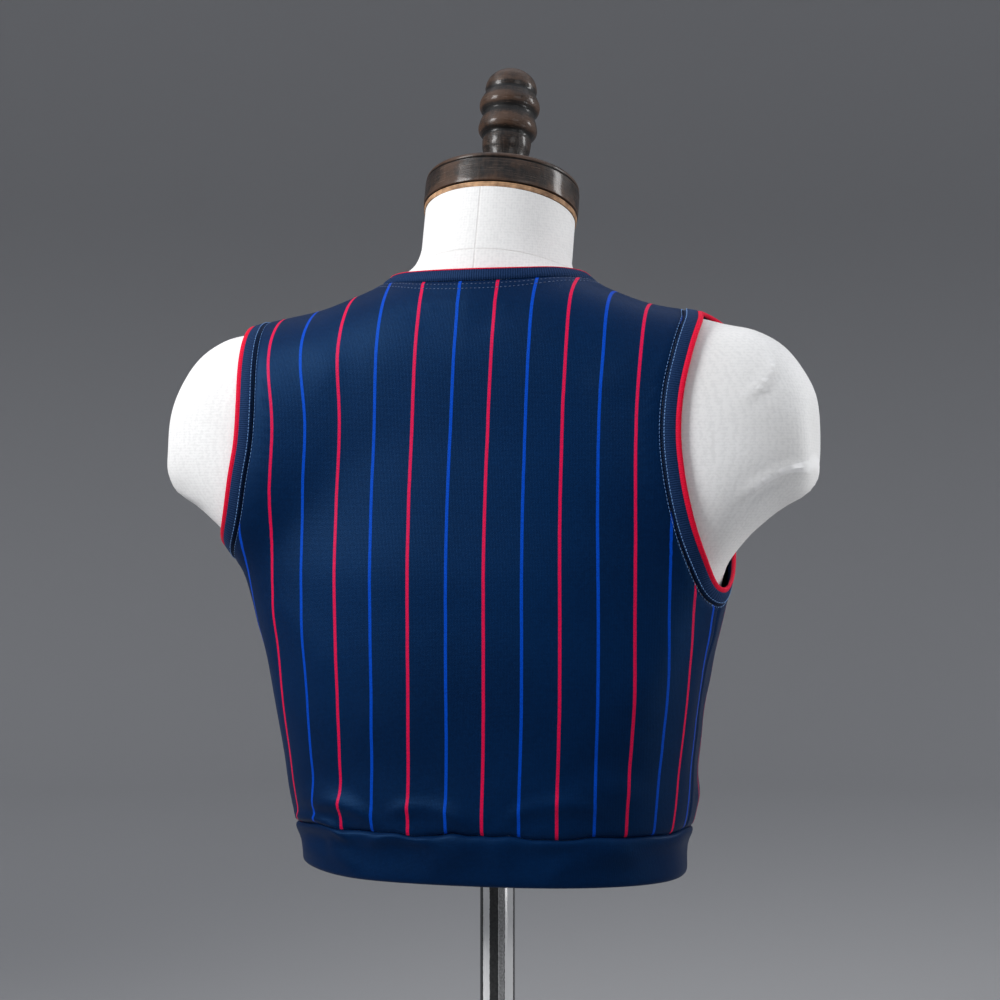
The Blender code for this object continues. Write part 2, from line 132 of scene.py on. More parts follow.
# Fans of rays from the middle line of the figure out to its surface. They lie level in the trunk,
# open upward through the shoulders and lie square to the axis in the neck.
FANS = table("level back height rise lean", [
    (0, 22, 0, 0, 0),
    (100, 22, 100, 0, 0),
    (200, 22, 200, 0, 0),
    (240, 22, 206, 14, 0),
    (280, 22, 214, 27, 0),
    (320, 20, 226, 39, 1),
    (360, 16, 246, 49, 4),
    (400, 10, 280, 52, 9),
    (430, 5, 314, 45, 13),
    (455, 1, 344, 30, 16),
    (475, -1, 366, 14, 17.8),
    (495, -1, 383, 0, 17.8),
    (525, -9, 412, 0, 17.8),
])

# The free edge of each armhole, from the shoulder round the back and the front. The top sits a
# little toward the wearer's left, whose armhole rides out on the stump.
ARMHOLE_LEFT = table("out y z", [
    (150, 24, 337),
    (148, 52, 328),
    (147, 68, 311),
    (146, 74, 290),
    (147, 76, 266),
    (151, 74, 244),
    (154, 62, 223),
    (156, 42, 211),
    (154, 20, 208),
    (150, -4, 210),
    (143, -24, 224),
    (139, -28, 252),
    (141, -24, 288),
    (146, -6, 320),
])
ARMHOLE_RIGHT = table("out y z", [
    (136, 26, 343),
    (139, 50, 333),
    (137, 66, 317),
    (133, 74, 292),
    (132, 77, 266),
    (134, 77, 246),
    (138, 71, 222),
    (143, 62, 199),
    (147, 47, 180),
    (149, 22, 183),
    (149, -10, 199),
    (143, -26, 225),
    (141, -30, 256),
    (144, -24, 292),
    (149, -4, 328),
])
# The neck seam of the top on the wearer's left, from the nape round to the centre front.
NECKLINE = table("out y z", [
    (0, 57.4, 360.8),
    (31, 51, 359.8),
    (53, 34, 355.4),
    (62.2, 11.4, 347),
    (60.4, -13.4, 336),
    (48.8, -36.8, 322),
    (27.4, -54.5, 310),
    (0, -60.6, 305),
])
NECK_SHIFT = 3.0

# How far the cloth stands off the figure: close at the shoulders, looser at the waist, where it
# blouses over the hem seam.
EASE = table("height off", [
    (0, 0.6), (26, 0.8), (34, 2.8), (44, 3.4), (70, 2.6), (130, 2.2), (165, 1.5), (200, 0.5),
    (240, 0.0), (380, 0.0),
])
# Where the cloth bridges a hollow: its place on the wearer's left or right, how high it stands off
# there and how far round.
BRIDGES = [
    (np.array([150, 34, 176]), 2.2, 30),
    (np.array([130, -28, 268]), 1.6, 38),
]

# Turned finial: distance along its axis, and radius.
FINIAL = [
    (0, 12.0), (10, 12.6), (18, 13.6), (23, 15.2), (28, 15.6), (31, 15.4), (34, 18.0), (37, 18.9),
    (41, 18.2), (46, 16.6), (48, 17.0), (51, 19.0), (55, 19.2), (59, 17.6), (62, 16.2), (66, 16.6),
    (71, 15.2), (75, 12.0), (78, 7.0), (79.2, 0.0),
]
NECK_AXIS = np.array([0.0, -sin(NECK_LEAN), cos(NECK_LEAN)])
NECK_REAR = np.array([0.0, cos(NECK_LEAN), sin(NECK_LEAN)])
FLIP = np.array([-1, 1, 1])
RAY_LENGTH = 320.0
RAY_STEPS = 24
SETTLE_STEPS = 6
SETTLE_LIMIT = 4.0
PROBE = 0.4


def read(columns, name, at):
    """A smooth curve through a table's column, at the given values of its first one."""
    keys, values = next(iter(columns.values())), columns[name]
    slopes = np.gradient(values, keys)
    at = np.clip(at, keys[0], keys[-1])
    i = np.clip(np.searchsorted(keys, at) - 1, 0, len(keys) - 2)
    step = keys[i + 1] - keys[i]
    u = (at - keys[i]) / step
    start = (2 * u**3 - 3 * u**2 + 1) * values[i] + (u**3 - 2 * u**2 + u) * step * slopes[i]
    end = (3 * u**2 - 2 * u**3) * values[i + 1] + (u**3 - u**2) * step * slopes[i + 1]
    return start + end


def trunk_fullness(x, y, z):
    power = read(TRUNK, "squareness", z)
    deep = y - read(TRUNK, "middle", z)
    reach = np.where(deep > 0, read(TRUNK, "back", z), read(TRUNK, "front", z))
    wide = x / read(TRUNK, "half_width", z)
    full = (wide**power + (np.abs(deep) / reach)**power)**(1 / power)
    return full + np.maximum(z - TRUNK["height"][-1], 0) / END_FADE


def yoke_fullness(x, y, z):
    top, bottom = read(YOKE, "top", x), read(YOKE, "bottom", x)
    deep = y - read(YOKE, "middle", x)
    reach = np.where(deep > 0, read(YOKE, "back", x), read(YOKE, "front", x))
    bottom = bottom - UNDERSIDE_SLANT * np.clip(deep, -reach, reach)
    tall = np.abs(2 * z - top - bottom) / (top - bottom)
    section = (tall**YOKE_POWER + (np.abs(deep) / reach)**YOKE_POWER)**(1 / YOKE_POWER)
    end = (x / YOKE_END)**YOKE_END_POWER
    return (section**YOKE_END_POWER + end)**(1 / YOKE_END_POWER)


def neck_fullness(points):
    rel = points - NECK_ROOT
    along, deep = rel @ NECK_AXIS, rel @ NECK_REAR
    wide = rel[..., 0] / read(NECK, "half_width", along)
    full = np.hypot(wide, deep / read(NECK, "half_depth", along))
    return full + np.maximum(NECK["along"][0] - along, 0) / END_FADE


def fullness(points):
    """1 on the figure's surface, less inside it and more outside."""
    x, y, z = np.abs(points[..., 0]), points[..., 1], points[..., 2]
    forms = np.stack([trunk_fullness(x, y, z), yoke_fullness(x, y, z), neck_fullness(points)])
    return (np.maximum(forms, 0.001)**-BLEND_POWER).sum(0)**(-1 / BLEND_POWER)


def slope(points):
    """Gradient of the fullness."""
    steps = np.eye(3) * PROBE
    return np.stack([fullness(points + s) - fullness(points - s) for s in steps], -1) / (2 * PROBE)


def unit(vectors):
    return vectors / np.linalg.norm(vectors, axis=-1, keepdims=True)


def outward(points):
    return unit(slope(points))


def settle(points):
    """Points brought straight onto the figure's surface."""
    points = np.array(points, float)
    for _ in range(SETTLE_STEPS):
        grad = slope(points)
        size = (grad**2).sum(-1, keepdims=True)
        move = (1 - fullness(points))[..., None] * grad / size
        length = np.linalg.norm(move, axis=-1, keepdims=True)
        points = points + move * np.minimum(1, SETTLE_LIMIT / np.maximum(length, 1e-9))
    return points


def rays(turn, level):
    """Start and direction of the ray at an angle from centre back towards the wearer's left."""
    rise = np.radians(read(FANS, "rise", level))
    lean = np.radians(read(FANS, "lean", level))
    start = np.stack([0 * rise, read(FANS, "back", level), read(FANS, "height", level)], -1)
    side, rear, up = np.sin(turn) * np.cos(rise), np.cos(turn) * np.cos(rise), np.sin(rise)
    way = np.stack([side, rear * np.cos(lean) - up * np.sin(lean),
                    rear * np.sin(lean) + up * np.cos(lean)], -1)
    return start, way


def along_rays(start, way):
    """Where rays from inside the figure meet its surface."""
    near, far = np.zeros(way.shape[:-1]), np.full(way.shape[:-1], RAY_LENGTH)
    for _ in range(RAY_STEPS):
        middle = (near + far) / 2
        inside = fullness(start + way * middle[..., None]) < 1
        near, far = np.where(inside, middle, near), np.where(inside, far, middle)
    return start + way * near[..., None]


def place(turn, level):
    """Points of the figure's surface."""
    return along_rays(*rays(*np.broadcast_arrays(turn, level)))


def address(points):
    """Turn and level of points of the surface, the reverse of place."""
    low = np.full(len(points), FANS["level"][0] - 1.0)
    high = np.full(len(points), FANS["level"][-1])
    for _ in range(RAY_STEPS):
        level = (low + high) / 2
        lean = np.radians(read(FANS, "lean", level))
        rel = points[:, 1:] - np.stack([read(FANS, "back", level), read(FANS, "height", level)], -1)
        rear = rel[:, 0] * np.cos(lean) + rel[:, 1] * np.sin(lean)
        up = rel[:, 1] * np.cos(lean) - rel[:, 0] * np.sin(lean)
        rise = np.arctan2(up, np.hypot(points[:, 0], rear))
        above = rise > np.radians(read(FANS, "rise", level))
        low, high = np.where(above, level, low), np.where(above, high, level)
    return np.arctan2(points[:, 0], rear), level


def ease(points):
    """How far the cloth stands off the figure there, beyond its clearance."""
    folded = np.concatenate([np.abs(points[..., :1]), points[..., 1:]], -1)
    off = read(EASE, "off", points[..., 2])
    for place_of, lift, reach in BRIDGES:
        distance = np.linalg.norm(folded - place_of, axis=-1)
        off = off + lift * np.exp(-(distance / reach)**2)
    return off


def distances(line):
    """How far along a line each of its points lies."""
    return np.concatenate([[0], np.cumsum(np.linalg.norm(np.diff(line, axis=0), axis=1))])


def along_line(line, at):
    """Points of a line at distances along it."""
    return np.stack([np.interp(at, distances(line), line[:, i]) for i in range(3)], -1)


def smooth_path(points, count, closed):
    """Evenly spaced points on a smooth curve through the given ones."""
    points = np.array(points, float)
    if closed:
        points = np.concatenate([points[-2:], points, points[:3]])
    lengths = distances(points)
    first, last = (2, len(points) - 3) if closed else (0, len(points) - 1)
    fine = np.linspace(lengths[first], lengths[last], 40 * len(points))
    columns = {"s": lengths, "x": points[:, 0], "y": points[:, 1], "z": points[:, 2]}
    curve = np.stack([read(columns, name, fine) for name in "xyz"], -1)
    return spaced(curve, count, closed)


def spaced(curve, count, closed):
    """A fine polyline sampled at even distances. A closed one doesn't repeat its first point."""
    return along_line(curve, np.linspace(0, distances(curve)[-1], count, endpoint=not closed))


def beside(curve, distance):
    """A closed curve on the surface moved sideways along it, to the left of its run seen outside."""
    along = np.roll(curve, -1, 0) - np.roll(curve, 1, 0)
    return settle(curve + unit(np.cross(outward(curve), along)) * distance)


def grid_faces(rows, columns, closed_rows, closed_columns):
    """Quads of a grid of points that may close on itself either way."""
    faces = []
    for i in range(rows if closed_rows else rows - 1):
        for j in range(columns if closed_columns else columns - 1):
            near, far = i * columns, (i + 1) % rows * columns
            faces.append((near + j, near + (j + 1) % columns, far + (j + 1) % columns, far + j))
    return faces


def hem_line(height):
    """A level ring of the surface, from centre back past the wearer's right side."""
    return place(HEM_TURNS, height)


def inside_outline(points, outline, margin):
    """Which points lie inside a closed outline, at least the margin away from it."""
    start, end = outline, np.roll(outline, -1, 0)
    inside = np.zeros(len(points), bool)
    nearest = np.full(len(points), np.inf)
    for a, b in zip(start, end):
        crosses = (a[1] > points[:, 1]) != (b[1] > points[:, 1])
        rise = b[1] - a[1] if b[1] != a[1] else 1e-9
        inside ^= crosses & (points[:, 0] < (b[0] - a[0]) * (points[:, 1] - a[1]) / rise + a[0])
        t = np.clip(((points - a) @ (b - a)) / max((b - a) @ (b - a), 1e-9), 0, 1)
        nearest = np.minimum(nearest, np.linalg.norm(points - a - t[:, None] * (b - a), axis=1))
    return inside & (nearest > margin)


def lattice(low, high, spacing):
    """Points of a triangular grid over a rectangle."""
    columns = np.arange(low[0], high[0], spacing)
    rows = np.arange(low[1] + spacing / 2, high[1], spacing * sin(pi / 3))
    return np.array([(x + j % 2 * spacing / 2, y) for j, y in enumerate(rows) for x in columns])


def line_on_surface(start, end, count):
    """Points of the surface along the straight line between two of its points, ends left out."""
    steps = np.linspace(0, 1, count + 2)[1:-1, None]
    return settle(start + (end - start) * steps)


def route(places):
    """The points of a table."""
    return np.stack([places["out"], places["y"], places["z"]], -1)


def armhole_seam(corners):
    """The seam round an armhole on the wearer's left, from the shoulder down its front."""
    edge = settle(smooth_path(route(corners), ARMHOLE_POINTS, True))
    seam = beside(edge, ARMHOLE_BAND_WIDTH)
    return np.roll(seam[::-1], 1, 0)


def neck_seam():
    """The seam round the neck, from the nape past the wearer's right shoulder."""
    half = route(NECKLINE)
    whole = np.concatenate([half, (half * FLIP)[-2:0:-1]]) + [NECK_SHIFT, 0, 0]
    seam = settle(smooth_path(whole, NECK_POINTS, True))
    return np.roll(seam[::-1], 1, 0)


# Sewing: how far the neck's two rows lie from its seam, and the spacing, length and radius of the
# stitches by the neck, on the armhole bands and beside their seams.
NECK_ROWS = (-2.6, -5.8)
NECK_STITCH = (2.6, 1.7, 0.28)
BAND_STITCH = (2.0, 1.75, 0.27)
SEAM_STITCH = (2.3, 1.8, 0.19)
# Spacing of the ribs, the neckband's rolled edge, and where its red tip starts across it.
NECK_RIB = 1.5
ARMHOLE_RIB = 1.4
NECK_BEAD = 1.3
NECK_TIP = 0.87

# Spacing of the panels' grid of points, and rings of points along their edges
CLOTH_SPACING = 3.4
EDGE_RINGS = (0.5, 1.2, 2.2)
# How far points of the rings keep inside a panel's outline, and those of its grid inside the rings.
RING_MARGIN = 0.3
GRID_MARGIN = 0.7
# How a panel's edge sinks into its seam: the share of its thickness and how far in, and the low
# swelling behind it, by height, distance and reach.
TUCK = 0.6
TUCK_REACH = 1.1
SWELLING = 0.25
SWELLING_AT = 3.2
SWELLING_REACH = 1.8
# Radii that turn an angle into a length where a panel is laid flat and round the hem band.
PANEL_RADIUS = 130.0
HEM_RADIUS = 98.0
# Points round the seams, places and steps of the side and shoulder seams, and columns of the forms
NECK_POINTS = 240
ARMHOLE_POINTS = 264
HEM_POINTS = 336
HEM_TURNS = -np.arange(HEM_POINTS) * tau / HEM_POINTS
SHOULDER_COLUMN = 60
SHOULDER_STEPS = 26
SIDE_STEPS = 44
FORM_COLUMNS = 300
# The form's columns lie closer together at its arm stumps by this much.
FORM_CROWDING = 0.34
TURNED_COLUMNS = 128

# Where the knit's stripes run: how far round from the middle the named ones lie, at each height. They
# are counted from the one at centre back or front, up to the wearer's left, and even ones are blue.
# Those between two named ones are spaced evenly.
STRIPES = table("height 6 4 2 0 -2 -4 -6 -8", [
    (0, 139, 98.6, 56, 8.4, -35, -79, -115, -140.5),
    (42, 140, 99.1, 56, 8.3, -35.1, -79.2, -115.6, -141.5),
    (111, 144.5, 100.3, 55, 7.7, -38, -82.3, -123.4, -149),
    (171, 148, 103.1, 56, 8.1, -38.1, -83.1, -125.1, -152.5),
    (230, 145.5, 103, 56.9, 8.4, -37.7, -82, -127.5, -162),
    (278, 143, 101, 56.2, 7.5, -38.3, -83, -128, -166),
    (325, 149, 106.6, 55.8, 6.2, -39.4, -84.2, -129, -168),
    (363, 149, 103, 55, 6.3, -38.8, -81, -126, -167),
])
FRONT_STRIPES = table("height 10 0 -10", [
    (0, 184, 8, -168),
    (44, 192, 8, -176),
    (66, 200, 8, -184),
    (86, 207.5, 8, -191.5),
    (110, 219.5, 8, -203.5),
    (140, 234, 8, -218),
    (170, 246, 8, -230),
    (210, 248, 8, -232),
    (400, 248, 8, -232),
])
STRIPE_WIDTH = 1.9
# Where stripes lie closer together than this they are narrower, and farther apart wider.
STRIPES_APART = 23.4
# No stripe is drawn past this number.
LAST_STRIPE = 9.5
# A number half way between two stripes, for cloth that has none.
BARE = 0.5
# The stripes' numbers are evened out over these distances to either side.
NEARBY = (-9.0, -6.0, -3.0, 0.0, 3.0, 6.0, 9.0)
# Level sections of the figure that distances round it are measured on: the highest one, their
# middle line, how far apart they are, how far round they go, their points, and the points left out
# at their ends where they turn back.
SECTION_TOP = 240.0
SECTION_BACK = 22.0
SECTION_STEP = 8
SECTION_TURN = 2.3
SECTION_POINTS = 461
SECTION_MARGIN = 60
# The armhole bands' red tipped edge, and the sunken strip along their seam.
TIP_WIDTH = 3.1
DITCH = 1.7

# Soft folds of the cloth: seen from the back, front, left or right, the line each one runs along
# (across and up), how wide it is and how far it stands out.
FOLDS = {
    "back": [
        (112, 44, 58, 39, 7, 1.3), (106, 60, 66, 55, 8, -0.8), (70, 92, 20, 84, 16, 0.5),
        (121, 31, 70, 24, 3.5, 2.8), (117, 21, 84, 16, 5, -1.6), (116, 12, 64, 7, 6, 2.0),
        (60, 22, 14, 25, 4, 1.4), (22, 11, -32, 17, 7, 1.7), (-50, 8, -104, 17, 6, 1.8),
        (100, 42, 52, 37, 4.5, 2.0), (46, 42, -8, 37, 4.5, 1.8), (-26, 40, -84, 46, 5, 1.8),
        (-52, 46, -104, 58, 8, 1.0), (-58, 62, -100, 74, 9, -0.6), (-20, 44, 30, 41, 8, 0.6),
        (128, 170, 84, 118, 11, 0.9), (134, 150, 100, 96, 9, -0.5), (-126, 160, -88, 104, 12, 0.9),
        (-134, 140, -104, 84, 9, -0.5), (118, 330, 80, 300, 12, 0.6),
        (-112, 326, -76, 292, 12, 0.6), (-22, 338, 34, 337, 7, -0.4),
    ],
    "front": [
        (120, 196, 66, 160, 12, 0.9), (-118, 190, -64, 158, 12, 0.9), (104, 112, 40, 96, 13, 0.8),
        (-98, 116, -34, 97, 12, 0.8), (-40, 128, 44, 131, 14, -0.7), (96, 48, 36, 41, 8, 1.1),
        (-24, 42, -92, 50, 8, 1.0), (60, 66, -10, 62, 10, -0.6), (92, 300, 62, 262, 12, 0.7),
        (-94, 296, -60, 262, 12, 0.7),
    ],
    "left": [
        (44, 160, 8, 112, 10, 0.8), (10, 150, -40, 118, 11, -0.5), (30, 46, -36, 42, 8, 1.1),
        (20, 84, -20, 64, 10, 0.6),
    ],
    "right": [
        (46, 156, 6, 110, 10, 0.8), (14, 46, -44, 44, 8, 1.1), (34, 92, -14, 70, 10, 0.6),
    ],
}
VIEWS = {
    "back": (0, np.array([0, 1, 0])),
    "front": (0, np.array([0, -1, 0])),
    "left": (1, np.array([1, 0, 0])),
    "right": (1, np.array([-1, 0, 0])),
}

# Turned neck cap: height up its axis, and radius. A groove and a bead run round its top edge.
CAP = [
    (0.0, 47.2), (0.5, 48.6), (1.4, CAP_RADIUS), (8.0, CAP_RADIUS), (14.6, CAP_RADIUS),
    (15.2, 48.7), (15.7, 47.9), (16.3, 47.9), (16.8, 48.5), (17.8, 48.6), (18.9, 48.1),
    (19.8, 47.0), (20.3, 45.4), (20.4, 43.6), (20.1, 41.6), (20.1, 14.0), (20.4, 0.0),
]
# Painted reflections along the pole, in dark and grey bands: where each starts and ends, in degrees
# round the pole from the wearer's left towards the back, and its brightness.
POLE_PAINTED_REFLECTIONS = [
    (14, 50, 0.03), (78, 108, 0.04), (109, 124, 0.34), (125, 129, 0.06), (168, 196, 0.03),
    (221, 246, 0.03), (247, 258, 0.3), (292, 318, 0.03), (336, 341, 0.08),
]
# Half the width of a band's soft edge, as a share of a turn.
BAND_EDGE = 0.003
# Small folds of the form's canvas on its arm stumps, as in FOLDS.
STUMP_FOLDS = {
    "back": [
        (-184, 314, -168, 289, 1.6, 2.0), (-189, 312, -173, 287, 2.4, -0.6),
        (-166, 230, -214, 250, 2.0, 2.4), (-166, 224, -210, 242, 2.6, -1.2),
        (176, 230, 214, 249, 2.2, 1.5), (174, 224, 210, 242, 2.6, -1.0),
        (190, 312, 176, 294, 2.0, 0.8),
    ],
    "right": [
        (58, 247, 6, 246, 10, 1.3),
    ],
    "left": [
        (58, 246, 6, 246, 10, 1.1),
    ],
    "front": [
        (190, 310, 172, 292, 2.6, -1.3), (-190, 308, -172, 288, 2.6, -1.3),
        (201, 250, 170, 232, 2.8, 1.6), (-202, 252, -172, 230, 2.8, 1.6),
    ],
}
# A fold shows where the surface faces its view, bows by a share of its length, and keeps its full
# height for a share of its length to either side of its middle.
FOLD_FACING = 0.25
FOLD_TURNING = 0.45
FOLD_BOW = 0.12
FOLD_FULL = 0.3
FOLD_FADE = 0.16
# Waves round the figure: size, how many there are and where they start. They lie in the blouse over
# the hem, along the hem seam and in the hem band. The blouse's height is measured up from the top's
# lower edge and the puff of the band down from the hem seam, and each fades over its spread.
BLOUSE_WAVES = [(0.5, 3, 0.8), (0.35, 7, 2.1), (0.25, 13, 0.3)]
BLOUSE_HEIGHT = 42
BLOUSE_SPREAD = 13
SEAM_WAVES = [(0.8, 5, 2.2), (0.6, 11, 0.5), (0.3, 23, 0.0)]
SEAM_SPREAD = 7
BAND_WAVES = [(0.5, 4, 1.0), (0.4, 9, 0.0), (0.25, 17, 2.0)]
PUFF_DOWN = 9
PUFF_SPREAD = 7
# The hem's lifted corner: how far, how far round it lies, and how wide and high it is.
CORNER_LIFT = 3.5
CORNER_TURN = 1.45
CORNER_WIDTH = 0.3
CORNER_HEIGHT = 9


def folds(points, table_of):
    """How far the folds of a table stand out at points of the surface."""
    facing = outward(points)
    total = 0 * points[..., 0]
    for view, rows in table_of.items():
        axis, way = VIEWS[view]
        seen = np.clip((facing @ way - FOLD_FACING) / FOLD_TURNING, 0, 1)
        for across, up, end_across, end_up, width, out in rows:
            start, run = np.array([across, up]), np.array([end_across - across, end_up - up])
            rel = points[..., [axis, 2]] - start
            along = (rel @ run) / (run @ run)
            bow = FOLD_BOW * np.hypot(*run) * np.clip(1 - (2 * along - 1)**2, 0, 1)
            off = (rel[..., 0] * run[1] - rel[..., 1] * run[0]) / np.hypot(*run) - bow
            ends = np.exp(-(np.maximum(np.abs(along - 0.5) - FOLD_FULL, 0) / FOLD_FADE)**2)
            total = total + out * seen * ends * np.exp(-(off / width)**2)
    return total


def waves(turn, rows):
    """The sum of a table of waves round the figure."""
    return sum(size * np.sin(count * turn + start) for size, count, start in rows)


def relief(points):
    """How far the cloth stands out in its folds, and in the waves where it blouses over the hem."""
    turn = np.arctan2(points[..., 0], points[..., 1] - SECTION_BACK)
    near = np.exp(-((points[..., 2] - BLOUSE_HEIGHT) / BLOUSE_SPREAD)**2)
    return waves(turn, BLOUSE_WAVES) * near + folds(points, FOLDS)


def sag(points):
    """How far the cloth lies above its even place: in waves along the hem seam, and lifted at the
    hem's corner on the wearer's left."""
    turn = np.arctan2(points[..., 0], points[..., 1] - SECTION_BACK)
    near = np.exp(-((points[..., 2] - HEM_BAND_HEIGHT) / SEAM_SPREAD)**2)
    corner = CORNER_LIFT * np.exp(-((turn - CORNER_TURN) / CORNER_WIDTH)**2)
    corner = corner * np.exp(-(points[..., 2] / CORNER_HEIGHT)**2)
    return waves(turn, SEAM_WAVES) * near + corner


def stand_off(points, height):
    """Points moved out from the surface by the cloth's stand-off and a height in the wall."""
    out = CLEARANCE + ease(points) + relief(points) + height
    return points + outward(points) * out[..., None] + sag(points)[..., None] * np.array([0, 0, 1])


def section_runs(rear):
    """Distance round level sections of the figure from the middle of its back or front, by turn."""
    heights = np.arange(0, SECTION_TOP + 1, SECTION_STEP)
    turns = np.linspace(-SECTION_TURN, SECTION_TURN, SECTION_POINTS)
    turn, height = np.meshgrid(turns, heights)
    way = np.stack([np.sin(turn), rear * np.cos(turn), 0 * turn], -1)
    start = np.stack([0 * turn, 0 * turn + SECTION_BACK, height], -1)
    edge = along_rays(start, way)
    steps = np.linalg.norm(np.diff(edge, axis=1), axis=-1)
    run = np.concatenate([np.zeros((len(heights), 1)), np.cumsum(steps, 1)], 1)
    return heights, turns, run - run[:, [len(turns) // 2]], edge[-1, :, 0]


def stripe_numbers(points, rear, stripes):
    """Which stripe each point is at, counted from the middle one, how far round it lies, and a
    measure of the stripes' spacing there: they narrow a little where they crowd together."""
    heights, turns, runs, top_x = section_runs(rear)
    turn = np.arctan2(points[:, 0], rear * (points[:, 1] - SECTION_BACK))
    low = np.clip((points[:, 2] / SECTION_STEP).astype(int), 0, len(heights) - 2)
    share = np.clip(points[:, 2] / SECTION_STEP - low, 0, 1)
    column = np.clip((turn - turns[0]) / (turns[1] - turns[0]), 0, len(turns) - 1.001)
    i = column.astype(int)
    part = column - i
    near = runs[low, i] * (1 - part) + runs[low, i + 1] * part
    far = runs[low + 1, i] * (1 - part) + runs[low + 1, i + 1] * part
    run = near * (1 - share) + far * share
    keep = slice(SECTION_MARGIN, -SECTION_MARGIN)
    over = np.interp(points[:, 0], top_x[keep], runs[-1][keep])
    run = np.where(points[:, 2] > SECTION_TOP, over, run)
    marks = [int(mark) for mark in stripes if mark != "height"]
    lines = [read(stripes, str(mark), points[:, 2]) for mark in marks]
    numbers, rates = np.zeros((len(NEARBY), len(points))), np.zeros((len(NEARBY), len(points)))
    for k, aside in enumerate(NEARBY):
        for i in range(len(marks) - 1):
            rate = (marks[i + 1] - marks[i]) / (lines[i + 1] - lines[i])
            past = run + aside - lines[i]
            beyond = (past * rate < 0) | (i == 0)
            numbers[k] = np.where(beyond, marks[i] + past * rate, numbers[k])
            rates[k] = np.where(beyond, rate, rates[k])
    number = np.clip(numbers.mean(0), -LAST_STRIPE, LAST_STRIPE)
    return number, run, np.sqrt(STRIPES_APART / rates.mean(0))


def linked(name, data):
    """A new object in the scene."""
    made = bpy.data.objects.new(name, data)
    bpy.context.collection.objects.link(made)
    return made


def piece(name, slot, replaces, vertices, faces, material, sharp=180.0, columns=0, **values):
    """A named mesh from points in millimetres above the hem. Values are kept on its points, and a
    grid's column number on its corners, so that it runs on past the grid's last column."""
    mesh = bpy.data.meshes.new(name)
    world = (np.asarray(vertices) + [0, 0, HEM_ABOVE_FLOOR]) * MM
    mesh.from_pydata(world.tolist(), [], [list(map(int, face)) for face in faces])
    bm = bmesh.new()
    bm.from_mesh(mesh)
    bmesh.ops.recalc_face_normals(bm, faces=bm.faces)
    bm.to_mesh(mesh)
    bm.free()
    for key, value in values.items():
        mesh.attributes.new(key, "FLOAT", "POINT").data.foreach_set("value", np.asarray(value, float))
    if columns:
        corner = np.zeros(len(mesh.loops), int)
        mesh.loops.foreach_get("vertex_index", corner)
        column = corner % columns
        starts, totals = np.zeros(len(mesh.polygons), int), np.zeros(len(mesh.polygons), int)
        mesh.polygons.foreach_get("loop_start", starts)
        mesh.polygons.foreach_get("loop_total", totals)
        highest = np.repeat(np.maximum.reduceat(column, starts), totals)
        column = np.where(highest - column > columns / 2, column + columns, column)
        mesh.attributes.new("column", "FLOAT", "CORNER").data.foreach_set("value", column / columns)
    mesh.shade_smooth()
    mesh.set_sharp_from_angle(angle=radians(sharp))
    mesh.materials.append(material)
    made = linked(name, mesh)
    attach(made, "root")
    if replaces:
        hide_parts(replaces)
    return made


